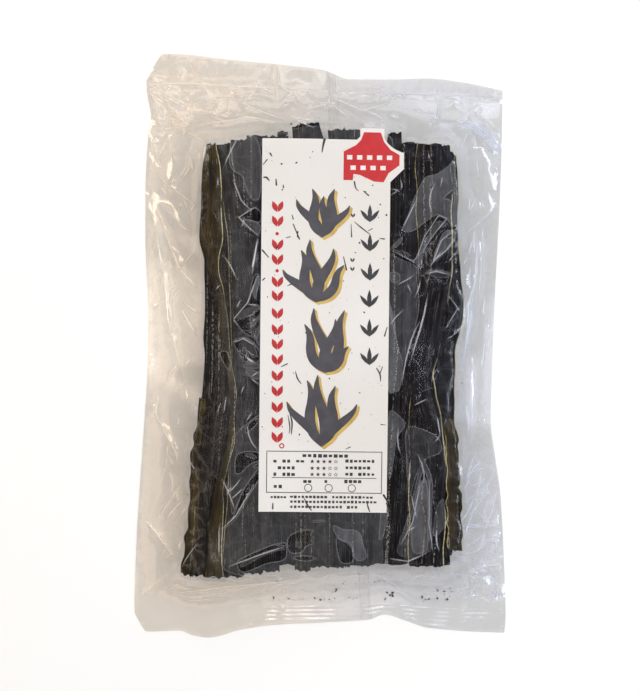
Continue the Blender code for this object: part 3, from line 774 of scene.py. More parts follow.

# patches of haze and painted sheen and glints on the film: hazy and lighter where it stands off the strips, dark where
# it clings; how much, and its outline; a later one lies over the earlier ones
hazeAndPaintedSheenPatches = [
    # left of the label
    (1.3, [(-50, 116), (-51, 100), (-46, 96.3), (-43.6, 95.5), (-40.5, 86), (-37.7, 80.9), (-33, 82), (-33, 118)]),
    (0.0, [(-45.6, 71.4), (-41.1, 75), (-36.6, 77.6), (-33, 75), (-33, 68.4), (-38.6, 70.2)]),
    (1.3, [(-45, 70.6), (-38.6, 70), (-33, 67.8), (-34, 61.4), (-38.6, 64.4), (-42.6, 67)]),
    (12, [(-34.7, 59.2), (-35.3, 59.2), (-37.2, 50), (-38.4, 43.5), (-37.2, 43.5), (-36, 50)]),
    (0.0, [(-33.5, 40), (-36.5, 40.2), (-38.8, 33.3), (-39.4, 24.7), (-41.1, 22.5), (-48.2, 15.6), (-46.8, 12.2),
           (-43.9, 8.2), (-39.4, 5.3), (-33.5, 4)]),
    (1.7, [(-34.2, 39), (-35.9, 38.5), (-37.6, 31), (-37.1, 26.5), (-35.6, 25.2), (-35.9, 29), (-34.2, 34.5)]),
    (1.2, [(-47.4, 15), (-42.8, 19.6), (-39.4, 21.9), (-33.5, 22.5), (-33.5, 20.7), (-39.4, 16.7), (-43.9, 14.7)]),
    (1.2, [(-39.6, 11), (-33.5, 18), (-33.5, 15.4), (-37.6, 10.5)]),
    (1.0, [(-36.5, 7.6), (-33.5, 12.2), (-33.5, -1.5), (-35.9, 3)]),
    (0.1, [(-49.1, 1.9), (-46.2, 4.2), (-41.6, 4.5), (-37.1, 1.9), (-33.5, -3.8), (-33.5, -9.5), (-42.8, -9.5),
           (-45.6, -3.8)]),
    (0.9, [(-45.1, 2.5), (-39.4, 3.6), (-36.5, 0.2), (-34.8, -7.3), (-39.4, -3.8), (-42.8, -1)]),
    (13, [(-41.5, -6.4), (-40.2, -6.6), (-37.2, -9), (-37.6, -9.8), (-40, -8.6)]),
    (1.3, [(-43.6, -10.6), (-33.5, -10), (-33.5, -13), (-42.8, -12.4)]),
    (1.5, [(-42.8, -13.7), (-37.1, -13.7), (-33.5, -16), (-33.5, -19), (-38.2, -18.2)]),
    (0.0, [(-56.8, -3.3), (-51.9, -3), (-50.6, -7.3), (-49.9, -13.5), (-51.4, -14.1), (-54.8, -8.4)]),
    (0.85, [(-47.2, -49), (-34.9, -38.9), (-32, -38.9), (-32, -70), (-37.7, -73.1), (-43.4, -81.3), (-46.5, -89.1),
           (-49.5, -96.6), (-50.2, -85.7), (-50.6, -66), (-49.5, -56.5)]),
    (0.1, [(-42.4, -48.4), (-41.4, -45.6), (-37.7, -41.6), (-34.5, -40.6), (-34.3, -42.3), (-35.6, -44.3),
           (-39, -47.7), (-41.7, -49)]),
    (0.1, [(-47.5, -62.6), (-45.8, -60.6), (-43.1, -59.6), (-38.3, -59.2), (-33, -60.5), (-33, -64.5), (-37, -65.3),
           (-40.4, -67.4), (-44.5, -72), (-47.2, -72.1), (-47.8, -70.1)]),
    (0.9, [(-43.5, -60.8), (-37.5, -60.5), (-34.5, -63.4), (-37.6, -63.6)]),
    (0.1, [(-37.7, -68), (-33, -65.5), (-33, -67.2), (-37.3, -69.1)]),
    # foot end
    (0.85, [(-32, -72), (-36, -77.6), (-41.1, -85.4), (-44.5, -92.1), (-48.5, -98.3), (-55.3, -103.3), (-55.2, -112),
            (-55, -129), (-20, -129), (6, -129), (36, -124), (35.4, -116), (34.8, -110.8), (37.1, -101), (38.2, -95.4),
            (38.2, -88), (-30, -88)]),
    (0.1, [(-47.5, -121.6), (-41.1, -117.9), (-35.6, -115.6), (-27.5, -112.2), (-20, -110.4), (-18.6, -112.2),
           (-19, -121), (-29.5, -122), (-38, -126), (-44.5, -128)]),
    (1.0, [(-46, -123.4), (-35.6, -117.6), (-26.1, -114.3), (-19.6, -113.6), (-19.6, -114.6), (-26, -115.6),
           (-35, -119.6), (-44, -125)]),
    (0.15, [(-18.6, -111.4), (-17.8, -107.7), (-14.9, -105.4), (-10.3, -103.9), (-2.9, -103.5), (-6.3, -106.5),
            (-2.3, -108.2), (-5.8, -109.7), (-2.6, -111.4), (-8, -112.5), (-9.8, -116.5), (-17.2, -117.1)]),
    (0.9, [(-13.6, -112.6), (-12.2, -110.2), (-10.6, -110.8), (-10.8, -113.6), (-12.4, -114)]),
    (0.1, [(-17, -119.2), (-9.5, -118), (-3, -119), (-3.5, -120.5), (-9, -121.5)]),
    (0.1, [(-5, -98.6), (-1, -98.1), (2.2, -98.2), (1, -99), (-4.5, -99.4)]),
    (2.0, [(6.8, -101.2), (10.2, -101.9), (12.5, -103.7), (20, -103.7), (23.4, -106.8), (24, -111.9), (25.7, -115.4),
           (26.2, -120.4), (20, -121.6), (18.8, -114.2), (16.5, -110.2), (11.4, -109.1), (8.5, -105.7)]),
    (0.3, [(9.2, -107.5), (11.4, -109.7), (16, -110.8), (18.3, -114.8), (19.5, -122), (11.4, -123), (9.1, -113)]),
    (1.6, [(34.3, -92), (38.4, -92), (37.1, -101), (35.1, -108), (33, -111), (33.6, -103)]),
    (0.05, [(-33, -73), (-33, -67.5), (-37.4, -72.6), (-43, -80.8), (-46, -89.1), (-49, -97.4), (-54.6, -103.4),
            (-48, -98.7), (-44.1, -92.3), (-40.7, -85.6), (-35.6, -77.6)]),
    # right of the label, at the head end
    (1.7, [(56.4, 90), (58.9, 94.9), (66.8, 96.1), (71.6, 100.4), (76, 104), (77.2, 78), (78.2, 70), (75.3, 65.8),
           (72.8, 68.8), (69.2, 72.4), (65.5, 73.7), (59.5, 70), (53.4, 64.5), (47.3, 63.3), (46.2, 65.8),
           (50.4, 75.5), (53.4, 84)]),
    (0.6, [(68.3, 81.5), (71.6, 85.2), (75.5, 88), (75.5, 78.5), (71.6, 82.6)]),
    (1.4, [(65.8, 70), (69.2, 69), (72.4, 68), (66.8, 65.8), (63.1, 62.1), (59.5, 56), (57, 48.8), (55.2, 43.9),
           (53.6, 47.5), (56.4, 54.8), (60.7, 62.1)]),
    (1.6, [(76.8, 64.5), (75.6, 59.1), (70.4, 53), (65.5, 47.3), (63.2, 46.6), (64.9, 53.6), (68, 61.5), (70.4, 64.5)]),
    (0.3, [(70, 61.5), (74, 65), (76.6, 63), (74.2, 61.6), (72.4, 59.4)]),
    (1.5, [(39, 54.3), (45.6, 60.8), (46.6, 59.8), (43.4, 55.2)]),
    (0.75, [(38, 53), (44.9, 48.2), (51, 46.3), (55, 43.5), (54, 38.4), (55.1, 30.5), (55.8, 21), (52.4, 6.7),
           (48.3, -6.9), (46.4, -10), (43.5, 0), (38, 24)]),
    (1.8, [(38, 41), (44.5, 41), (45.3, 36), (40.5, 34.8)]),
    (0.7, [(58.6, 41.2), (63, 42.2), (73.4, 41.4), (73, 38), (64, 38.2)]),
    # right of the label, from the middle down
    (2.5, [(38, 27), (41.2, 16.9), (42.9, 3.3), (43.5, -3.5), (42.2, -20.5), (41.2, -27), (38, -27)]),
    (2.2, [(43.5, -2), (45.5, -6), (46.3, -12), (45, -25), (41.5, -26.5), (42.7, -20)]),
    (1.8, [(38, -34), (45, -40), (48.6, -44.2), (45, -49), (43.2, -51.2), (41.6, -61.4), (40.2, -74), (38, -74)]),
    (0.5, [(47.4, -43.7), (62, -48.5), (68.1, -53.2), (68.1, -60.7), (61.3, -62), (57.2, -65.4), (53.1, -74.9),
           (49.7, -88.5), (48.7, -64.8)]),
    (0.9, [(58.2, -64.6), (55.4, -70.9), (52.2, -85.1), (49.4, -96.7), (43.4, -113.8), (43.6, -118), (52, -120),
           (61, -116), (62.8, -113), (62.6, -91.9), (63.2, -78.3), (61.5, -70.2)]),
    (0.0, [(58.4, -69), (56.6, -73), (53.6, -85.1), (50.9, -97.2), (48.6, -106), (51, -105.5), (52.3, -95.3),
           (55, -82.4), (58.6, -73.2), (60.1, -77), (61, -84), (60.6, -98.7), (61, -112), (61.9, -104), (61.6, -85),
           (60.8, -75)]),
    (2.0, [(58.6, -74.3), (55.2, -82.4), (52.5, -95.3), (51.1, -105.5), (52.1, -117.7), (59.9, -115.7),
           (60.6, -112.3), (60.3, -98.7), (60.6, -85.1), (59.9, -78.3)]),
    (0.9, [(69.4, -85.1), (65.4, -89.9), (64, -98.7), (63.3, -108.2), (68.7, -104.1), (72.1, -98), (70.1, -91.9)]),
    # head end
    (0.8, [(-29, 117), (-10, 122.5), (5, 123), (30, 121), (41, 117), (41, 109), (-33, 109), (-33, 116)]),
    (3.0, [(-87.8, 131.7), (-84.8, 130.9), (-82.7, 128), (-80.5, 131.7), (-77.5, 129.5), (-74.6, 128),
           (-76.8, 124.4), (-79.7, 120.7), (-82.7, 124.4), (-84.8, 128)]),
    (3.5, [(-57.1, 131.7), (-52.3, 133.4), (-52.6, 129), (-54.9, 129.5)]),
    (2.5, [(-52.2, 139.7), (-50.9, 140.1), (-51.5, 131), (-52.7, 131)]),
    (3.0, [(-46, 128.6), (-41.7, 129.9), (-35.9, 129.4), (-31, 127.4), (-36.6, 128.3), (-41.7, 128.6)]),
    (3.0, [(-34.4, 135.3), (-32.2, 137.8), (-26, 135.3), (-28.6, 133.7), (-32.2, 133)]),
    (2.0, [(-27.3, 160.4), (-24.7, 160.4), (-24, 147), (-24.6, 136.5), (-25.8, 145.6)]),
    (2.2, [(-73.6, 163.6), (-68.8, 163.6), (-65.4, 163), (-63, 160), (-68, 160.7), (-73, 160.6)]),
    (3.0, [(-15.4, 137), (-7.4, 136.7), (-1.6, 134.3), (-7.4, 135.1)]),
    (7.0, [(78, 127.6), (86, 129), (92, 126.8), (98, 122.2), (104, 114), (103.4, 107), (98.4, 112), (92, 119.4),
           (85, 124)]),
    (5.0, [(66, 123), (72, 119.4), (78, 117.6), (76, 122.6), (70, 127)]),
    (3.0, [(61, 134.6), (63.2, 131), (67.4, 126.4), (66.8, 130.4), (63.2, 135)]),
    # foot end, margins: painted glints
    (4.5, [(-21.8, -138), (-19.6, -137.4), (-18.4, -141), (-16, -144.8), (-19, -145.4), (-20.8, -142)]),
    (5.0, [(83.6, -124), (90.4, -130), (86, -131.6)]),
    (5.0, [(91.6, -125.6), (99.6, -133), (94, -134.4)]),
    (5.0, [(95.6, -137.6), (103.6, -142), (98, -145.6)]),
    (4.0, [(72.6, -127), (80, -132), (74, -133)]),
    (1.6, [(32, -129), (38, -132), (52, -143.6), (56, -149), (48, -143.4), (38, -135)]),
    # the margins' milky places
    (0.9, [(82, -60), (100, -58), (102, -100), (102, -126), (84, -124), (83, -98)]),
    (0.7, [(-78, -70), (-84, -76), (-96, -92), (-98, -102), (-88, -112), (-79, -118), (-76, -100)]),
    (0.8, [(10, 157), (40, 157), (80, 152), (100, 148), (98, 140), (60, 144), (20, 144), (9, 148)]),
    # glares in the right margin
    (8.0, [(89.3, 61.7), (91.1, 55.5), (89.7, 45.1), (89, 38.1), (86.9, 29.8), (86.6, 22.8), (86.2, 14.5),
           (85.2, 6.9), (83.4, -2.2), (81.5, -9.1), (81.7, -0.8), (82.4, 6.2), (83.1, 13.1), (82.2, 20.8),
           (82.5, 24.2), (85.2, 28.4), (87.1, 36), (88, 45.1), (88.3, 53.4)]),
    (3.0, [(83, -8), (86, -14), (86.6, -40), (84, -58), (83, -40), (82, -20)]),
]


# where the film is finely crumpled: x and y range, how many small creases, and their main direction
# and spread in degrees
crumpled = [
    ((-96, 98), (126, 148), 44, 0, 50),
    ((-92, 98), (150, 163), 8, 90, 30),
    ((-98, -70), (-120, 124), 44, 80, 40),
    ((80, 102), (-60, 118), 24, 88, 25),
    ((80, 104), (-150, -62), 46, 40, 70),
    ((-100, 84), (-148, -129), 46, 5, 25),
    ((-60, -36), (-120, 110), 16, 80, 40),
    ((42, 74), (-120, 110), 22, 70, 45),
]


def smallCreases(rng):
    made = []
    for (left, right), (low, high), count, way, spread in crumpled:
        for _ in range(count):
            x, y = rng.uniform(left, right), rng.uniform(low, high)
            turn = math.radians(way + rng.uniform(-spread, spread))
            length = 4 + 14 * rng.uniform() ** 2
            bow = rng.uniform(-0.12, 0.12) * length
            q = np.linspace(0, 1, 4)
            along, aside = (q - 0.5) * length, bow * 4 * q * (1 - q)
            line = np.stack([x + along * math.cos(turn) - aside * math.sin(turn),
                             y + along * math.sin(turn) + aside * math.cos(turn)], axis=1)
            if insideRim(*line.T).all() and rimDistance(*line.T).min() > 1.2:
                made.append((line, rng.uniform(0.2, 0.7), rng.uniform(2, 4), rng.uniform(0.06, 0.16)))
    return made


def resample(line, step):
    # the same line with a point about every step
    line = np.array(line, float)
    lengths = np.hypot(*np.diff(line, axis=0).T)
    places = np.concatenate([[0], np.cumsum(lengths)])
    count = max(2, int(places[-1] / step) + 1)
    at = np.linspace(0, places[-1], count)
    return np.stack([np.interp(at, places, line[:, 0]), np.interp(at, places, line[:, 1])], axis=1)


def beside(line, offset):
    # the line moved sideways
    way = np.gradient(line, axis=0)
    way /= np.maximum(np.hypot(way[:, 0], way[:, 1]), 1e-9)[:, None]
    return line + offset * np.stack([-way[:, 1], way[:, 0]], axis=1)


def nearLine(line, x, y):
    # distance from a line, and how far along it, from 0 to 1, the nearest place is
    lengths = np.hypot(*np.diff(line, axis=0).T)
    before = np.concatenate([[0], np.cumsum(lengths)])
    nearest, share = np.full(len(x), 1e9), np.zeros(len(x))
    for k, length in enumerate(lengths):
        way = (line[k + 1] - line[k]) / length
        along = np.clip((x - line[k, 0]) * way[0] + (y - line[k, 1]) * way[1], 0, length)
        away = np.hypot(x - line[k, 0] - along * way[0], y - line[k, 1] - along * way[1])
        closer = away < nearest
        nearest = np.where(closer, away, nearest)
        share = np.where(closer, (before[k] + along) / before[-1], share)
    return nearest, share


def creaseHeight(x, y):
    # the rise of all creases, and how sharply creased each place is
    total, sharp = np.zeros_like(x), np.zeros_like(x)
    for line, rise, reach, pinch in creases:
        line = np.array(line, float)
        low, high = line.min(axis=0) - reach, line.max(axis=0) + reach
        near = np.flatnonzero((x > low[0]) & (x < high[0]) & (y > low[1]) & (y < high[1]))
        nearest, share = nearLine(line, x[near], y[near])
        taper = np.minimum(1, 0.25 + 3 * np.minimum(share, 1 - share))
        flank = np.clip(1 - nearest / reach, 0, 1) ** 1.4
        tip = np.clip(1 - nearest / film["pinchWidth"], 0, 1)
        total[near] += taper * (rise * flank + pinch * tip)
        sharp[near] = np.maximum(sharp[near], tip * taper)
    return total, sharp


def rounded(loop):
    # a closed outline with its corners cut, then cut again; it ends where it begins
    loop = np.array(loop, float)
    for _ in range(2):
        after = np.roll(loop, -1, axis=0)
        loop = np.stack([loop * 0.78 + after * 0.22, loop * 0.22 + after * 0.78], axis=1).reshape(-1, 2)
    return np.concatenate([loop, loop[:1]])


def hazeAndPaintedSheenAt(x, y):
    # how much haze and painted sheen the film has at each place, and how near that is to a patch's outline
    # an even painted sheen over the strips left of the label, less where the film hangs loose
    haze = film["haze"] * ease((-28 - x) / 6) * ease((x + 60) / 6) * (1 - looseFilm.at(x, y))
    outline = np.zeros_like(x)
    for amount, loop in hazeAndPaintedSheenPatches:
        line = rounded(loop)
        low, high = line.min(axis=0) - 1, line.max(axis=0) + 1
        near = np.flatnonzero((x > low[0]) & (x < high[0]) & (y > low[1]) & (y < high[1]))
        away = nearLine(line, x[near], y[near])[0]
        share = np.where(insideLoop(line[:-1], x[near], y[near]), ease(away / film["hazeEdge"]), 0)
        haze[near] += share * (amount - haze[near])
        outline[near] = np.maximum(outline[near], np.clip(1 - away / film["hazeEdge"], 0, 1))
    return haze, outline


def crinkle(x, y):
    # how strongly the film is crumpled, in millimetres
    amount = 0.1 + 0.18 * ease((-62 - x) / 8) + 0.2 * ease((x - 74) / 8) + 0.65 * ease((x - 78) / 8) * ease((-50 - y) / 25)
    amount += 0.35 * ease((-45 - x) / 25) * ease((y - 105) / 15) + 0.2 * ease((y - 120) / 8)
    amount += 0.12 * ease((-124 - y) / 6)
    return amount * (1 - labelCover(x, y, 6))


def scatterPoints(spacing, rng, keep):
    # a jittered lattice inside the rim
    xs = np.arange(bagLow[0], bagHigh[0], spacing)
    ys = np.arange(bagLow[1], bagHigh[1], spacing)
    x, y = (field.ravel() for field in np.meshgrid(xs, ys))
    x = x + rng.uniform(-0.32, 0.32, len(x)) * spacing
    y = y + rng.uniform(-0.32, 0.32, len(y)) * spacing
    kept = insideRim(x, y)
    x, y = x[kept], y[kept]
    kept = (rimDistance(x, y) > spacing * 0.5) & keep(x, y)
    return np.stack([x[kept], y[kept]], axis=1)


class Facets:
    # flat-sided crumples: random heights on a coarse triangle mesh
    def __init__(self, spacing, rng):
        points = np.concatenate([scatterPoints(spacing, rng, lambda x, y: x < 1e9), rim[::6]])
        out = delaunay_2d_cdt([Vector(p) for p in points], [], [], 0, 0.01)
        self.points = np.array([tuple(p) for p in out[0]])
        self.edges = [tuple(edge) for edge in out[1]]
        self.triangles = np.array([tuple(face) for face in out[2]])
        self.heights = rng.uniform(-1, 1, len(self.points))

    def at(self, x, y):
        result = np.zeros_like(x)
        for corners in self.triangles:
            a, b, c = self.points[corners]
            low, high = np.minimum(np.minimum(a, b), c), np.maximum(np.maximum(a, b), c)
            near = np.flatnonzero((x >= low[0]) & (x <= high[0]) & (y >= low[1]) & (y <= high[1]))
            if not len(near):
                continue
            area = (b[0] - a[0]) * (c[1] - a[1]) - (b[1] - a[1]) * (c[0] - a[0])
            u = ((x[near] - a[0]) * (c[1] - a[1]) - (y[near] - a[1]) * (c[0] - a[0])) / area
            v = ((b[0] - a[0]) * (y[near] - a[1]) - (b[1] - a[1]) * (x[near] - a[0])) / area
            inside = (u >= -1e-6) & (v >= -1e-6) & (u + v <= 1 + 1e-6)
            h = self.heights[corners]
            result[near[inside]] = (h[0] + u * (h[1] - h[0]) + v * (h[2] - h[0]))[inside]
        return result


def triangulate(points, chains, loops, spacing, keep):
    # triangles over the bag that have every chain and loop among their edges
    gathered, edges, start = [], [], 0
    for chain, closed in [(c, False) for c in chains] + [(l, True) for l in loops]:
        count = len(chain)
        gathered.append(chain)
        edges += [(start + i, start + i + 1) for i in range(count - 1)]
        if closed:
            edges.append((start + count - 1, start))
        start += count
    fixed = np.concatenate(gathered)
    cell = spacing * 0.45
    taken = {(int(p[0] / cell), int(p[1] / cell)) for p in fixed}
    free = [p for p in points if (int(p[0] / cell), int(p[1] / cell)) not in taken]
    everything = [Vector(p) for p in fixed] + [Vector(p) for p in free]
    out = delaunay_2d_cdt(everything, edges, [], 0, 0.05)
    places = np.array([tuple(p) for p in out[0]])
    faces = np.array([tuple(face) for face in out[2]])
    centres = places[faces].mean(axis=1)
    faces = faces[keep(centres[:, 0], centres[:, 1])]
    a, b, c = (places[faces[:, k]] for k in range(3))
    turn = (b[:, 0] - a[:, 0]) * (c[:, 1] - a[:, 1]) - (b[:, 1] - a[:, 1]) * (c[:, 0] - a[:, 0])
    faces[turn < 0] = faces[turn < 0][:, ::-1]
    used, faces = np.unique(faces, return_inverse=True)
    return places[used], faces.reshape(-1, 3)


def filmPoints(spacing, rng):
    everywhere = scatterPoints(spacing, rng, lambda x, y: labelCover(x, y, 2.5) < 0.5)
    covered = scatterPoints(film["labelSpacing"], rng, lambda x, y: labelCover(x, y, 2.5) >= 0.5)
    return np.concatenate([everywhere, covered])


def footHeight(x):
    return bagLow[1] + through(bagPlan["foot"], (x - bagLow[0]) / (bagHigh[0] - bagLow[0]))


def ribBase(x):
    # the foot seal's ribs are straighter than the bag's lower edge
    return 0.35 * footHeight(x) + 0.65 * (bagLow[1] + 2.5)


def ribLines():
    lines = []
    x = np.arange(bagLow[0] + 1, bagHigh[0] - 1, 3.0)
    for k in range(-3, int(bagPlan["footSeal"] * 2 / film["ribPitch"]) + 2):
        y = ribBase(x) + k * film["ribPitch"] / 2
        line = np.stack([x, y], axis=1)
        lines.append(line[insideRim(x, y) & (rimDistance(x, y) > 0.4)])
    return lines


def facetSharp(x, y):
    sharp = np.zeros_like(x)
    for a, b in facets.edges:
        line = facets.points[[a, b]]
        low, high = line.min(axis=0) - 1, line.max(axis=0) + 1
        near = np.flatnonzero((x > low[0]) & (x < high[0]) & (y > low[1]) & (y < high[1]))
        if len(near):
            away = nearLine(line, x[near], y[near])[0]
            sharp[near] = np.maximum(sharp[near], np.clip(1 - away / 0.4, 0, 1))
    return sharp


def frontHeight(x, y):
    # the front film's height at each place, and how sharply it is creased there
    away = rimDistance(x, y)
    base = drape.at(x, y)
    free = ease(away / 4) * (0.15 + 0.85 * ease((y - footHeight(x) - bagPlan["footSeal"]) / 5))
    bulge = film["rimBulge"] * (1 - np.clip(1 - away / 2.2, 0, 1) ** 2)
    low = film["rimHeight"] - 0.7
    folded, sharp = creaseHeight(x, y)
    crumpled = crinkle(x, y)
    height = base + free * (folded + crumpled * facets.at(x, y))
    height = low + bulge * np.clip(away, 0, 1) + (height - film["rimHeight"])
    cover = labelCover(x, y, 3)
    height = height * (1 - cover) + base * cover
    height = np.maximum(height, pileSkin.at(x, y) + 0.15 + film["touch"] * (1 - cover))
    sharp = np.maximum(sharp, facetSharp(x, y) * np.clip(crumpled, 0, 1) * film["facetEdge"])
    return height, sharp * free * (1 - cover)


def crimpTree():
    # presses ribs into a seal, by each point's distance from the bag's edge
    group, tree, given = geometryTree("crimpSeal", {
        "Pitch": ("NodeSocketFloat", 2.4), "Depth": ("NodeSocketFloat", 0.3),
        "Material": ("NodeSocketMaterial", None)})
    seal = tree.add("GeometryNodeInputNamedAttribute", {"data_type": "FLOAT"}, {"Name": "seal"})
    mask = tree.add("GeometryNodeInputNamedAttribute", {"data_type": "FLOAT"}, {"Name": "sealMask"})
    wave = tree.add("ShaderNodeMath", {"operation": "PINGPONG"}, {0: seal, 1: given["Pitch"] / 2})
    rise = wave / given["Pitch"] * 2 * given["Depth"] * mask * mm
    moved = tree.add("GeometryNodeSetPosition", None, {
        "Geometry": given["Geometry"], "Offset": tree.vector(0.0, 0.0, rise)})
    finishTree(tree, moved, given["Material"])
    return group


# how much the film mirrors: where it clings to the strips, and how much more where it hangs loose; then the painted
# highlight lines on its creases and the painted sheen in its hazes
filmShine = {"clinging": 0.007, "loose": 0.09, "crease": 0.36, "haze": 0.036}


def filmLook(name, share, tint):
    material, tree = newMaterial(name)
    facing = tree.add("ShaderNodeLayerWeight", None, {"Blend": 0.5}, "Facing")
    place = tree.add("ShaderNodeTexCoord", None, None, "Object")
    crease = tree.add("ShaderNodeAttribute", {"attribute_name": "crease"}, out="Fac")
    loose = tree.add("ShaderNodeAttribute", {"attribute_name": "loose"}, out="Fac")
    haze = tree.add("ShaderNodeAttribute", {"attribute_name": "haze"}, out="Fac")
    cloud = tree.noise(place, 60.0, 3.0, 0.6)
    ripple = tree.noise(place, 160.0, 2.0, 0.5)
    bump = tree.add("ShaderNodeBump", None, {"Strength": 0.05, "Distance": 0.0001, "Height": ripple})
    across = tree.add("ShaderNodeSeparateXYZ", None, {0: place})
    side = across.over(-0.07, 0.07)
    drift = tree.noise(tree.vector(across * 170, across.part("Y") * 35, 0.0), 1.0, 2.0).over(0.25, 0.75)
    # painted reflection colour: the shine is tinted warm on the left and cool on the right, more strongly where the
    # film hangs loose
    warmPaintedReflection = tree.mix(loose, (0.97, 0.95, 0.95, 1), (1.0, 0.83, 0.65, 1))
    coolPaintedReflection = tree.mix(loose, (0.88, 0.90, 1.0, 1), (0.66, 0.71, 0.86, 1))
    cast = tree.mix(side, warmPaintedReflection, coolPaintedReflection)
    # the hazes' painted sheen: there the shine is less metallic and rougher, so it reads lighter and milkier
    hazeAndPaintedSheenShare = haze.over(0.0, 1.0)
    # along creases the shine is painted as a light line: less metallic and rougher there, and mixed in more strongly
    # below
    shine = tree.add("ShaderNodeBsdfPrincipled", None, {
        "Base Color": cast, "Metallic": (1 - crease * 0.7) * (1 - loose * 0.42) * (1 - hazeAndPaintedSheenShare * 0.6),
        "Roughness": 0.1 + cloud * 0.05 + crease * 0.4 - loose * 0.05 + hazeAndPaintedSheenShare * (1 - loose * 0.5) * 0.28, "Normal": bump})
    clear = tree.add("ShaderNodeBsdfTransparent", None, {"Color": tint})
    still = share + loose * filmShine["loose"] + facing ** 3.5 * (1 - share) + crease * filmShine["crease"]
    still = still + haze * filmShine["haze"] * (0.65 + drift * 0.7)
    still = still + (cloud - 0.5) * 0.02
    factor = tree.add("ShaderNodeClamp", None, {0: still, 1: 0.0, 2: 1.0})
    mixed = tree.add("ShaderNodeMixShader", None, {0: factor, 1: clear, 2: shine})
    tree.feed(tree.output.inputs[0], mixed)
    return material


filmRandom = np.random.default_rng(film["seed"])
creases += smallCreases(filmRandom)
facets = Facets(film["facet"], filmRandom)
crimp = crimpTree()
frontMaterial = filmLook("clearFilm", filmShine["clinging"], (0.935, 0.929, 0.919, 1))


def sealFields(x, y):
    seal = y - ribBase(x)
    mask = ease(rimDistance(x, y) / 1.5) * ease((bagPlan["footSeal"] - 3.5 - seal) / 0.8)
    waxing = 0.62 + 0.38 * np.sin(x * 0.061 + 1.0) * np.sin(x * 0.148 + 2.0)
    waxing = waxing * (0.45 + 0.55 * ease((x + 60) / 50))
    return {"seal": seal, "sealMask": mask * waxing}


def makeFrontFilm():
    chains = []
    for line, rise, reach, pinch in creases:
        fine = resample(line, film["foldStep"])
        chains += [fine, beside(fine, film["pinchWidth"]), beside(fine, -film["pinchWidth"])]
    for a, b in facets.edges:
        middle = (facets.points[a] + facets.points[b]) / 2
        if labelCover(middle[0], middle[1], 3) < 0.5:
            chains.append(resample([facets.points[a], facets.points[b]], film["foldStep"] * 1.4))
    for amount, loop in hazeAndPaintedSheenPatches:
        fine = resample(rounded(loop), film["foldStep"])
        chains += [fine, beside(fine, film["hazeEdge"]), beside(fine, -film["hazeEdge"])]
    chains += ribLines()
    chains = [chain for chain in chains if len(chain) > 1]
    points = filmPoints(film["spacing"], filmRandom)
    places, faces = triangulate(points, chains, [rim], film["spacing"], insideRim)
    x, y = places.T
    z, sharp = frontHeight(x, y)
    haze, outline = hazeAndPaintedSheenAt(x, y)
    # creases, facet edges and the outlines of the sheen patches are given painted highlight lines
    sharp = np.maximum(sharp, outline * 0.35)
    fields = {**sealFields(x, y), "crease": sharp, "loose": looseFilm.at(x, y), "haze": haze}
    made = meshObject("filmFront", np.stack([x, y, z], axis=1), faces.tolist(), fields)
    grow(made, crimp, {"Pitch": film["ribPitch"], "Depth": film["ribDepth"], "Material": frontMaterial})
    soften(made, 9)
    return made


def backHeight(x, y):
    away = rimDistance(x, y)
    waves = 0.25 + 0.18 * facets.at(x + 3, y - 2) * ease(away / 4)
    rise = (film["rimHeight"] - 0.75) * (1 - ease(away / 6))
    return np.clip(waves + rise, 0.06, kelp["bed"] - 0.1)


def makeBackFilm():
    points = scatterPoints(3.2, filmRandom, lambda x, y: x < 1e9)
    chains = [chain for chain in ribLines() if len(chain) > 1]
    places, faces = triangulate(points, chains, [rim], 3.2, insideRim)
    x, y = places.T
    z = backHeight(x, y)
    fields = {**sealFields(x, y), "loose": looseFilm.at(x, y)}
    made = meshObject("filmBack", np.stack([x, y, z], axis=1), faces[:, ::-1].tolist(), fields)
    grow(made, crimp, {"Pitch": film["ribPitch"], "Depth": film["ribDepth"] * 0.6, "Material": frontMaterial})
    soften(made, 9)
    return made


filmFront = makeFrontFilm()
filmBack = makeBackFilm()
print("film:", len(filmFront.data.polygons), len(filmBack.data.polygons))


# ---- the flap of the seam that runs down the back, and crumbs of kelp in the bag

seam = {
    "head": (6.5, 157.0),
    "foot": (26.5, -156.6),
    "width": 6.5,
    "columns": 5,
    "step": 2.0,
}


def makeSeam():
    (headX, headY), (footX, footY) = seam["head"], seam["foot"]
    rows = int((headY - footY) / seam["step"])
    q = np.linspace(0, 1, rows)[:, None]
    aside = np.linspace(-0.5, 0.5, seam["columns"])[None, :]
    bow = 1.2 * np.sin(q * 5.0) * q * (1 - q)
    x = footX + q * (headX - footX) + bow + aside * seam["width"]
    y = footY + q * (headY - footY) + 0 * aside
    z = 0.45 * backHeight(x.ravel(), y.ravel())
    points = np.stack([x.ravel(), y.ravel(), z], axis=1)
    faces = []
    for i, j in product(range(rows - 1), range(seam["columns"] - 1)):
        a = i * seam["columns"] + j
        faces.append((a, a + seam["columns"], a + seam["columns"] + 1, a + 1))
    edge = (np.abs(aside) > 0.49) + 0 * q
    # the seam's two edges carry a painted highlight line
    made = meshObject("finSeam", points, faces, {"crease": edge.ravel() * 0.6})
    made.data.materials.append(filmLook("seamFilm", 0.012, (0.985, 0.982, 0.978, 1)))
    made.data.shade_smooth()
    return made


crumbs = {
    "seed": 31,
    "thickness": 0.22,
    # each patch: x and y range, how many crumbs, and their smallest and largest half length
    "patches": [
        ((-30, 22), (-146, -144), 22, 0.25, 0.6),
        ((37, 42), (-146, -141), 7, 0.3, 1.0),
        ((58, 64), (-147, -143), 5, 0.3, 0.9),
        ((67, 76), (-147, -138), 12, 0.25, 0.8),
        ((7, 12), (-142, -139), 3, 0.3, 0.8),
        ((-60, 60), (-137, -131), 16, 0.2, 0.5),
        ((-78, -72), (-120, -40), 6, 0.2, 0.5),
        ((80, 84), (-110, 60), 8, 0.2, 0.6),
        ((-50, 60), (124, 131), 10, 0.2, 0.6),
    ],
}


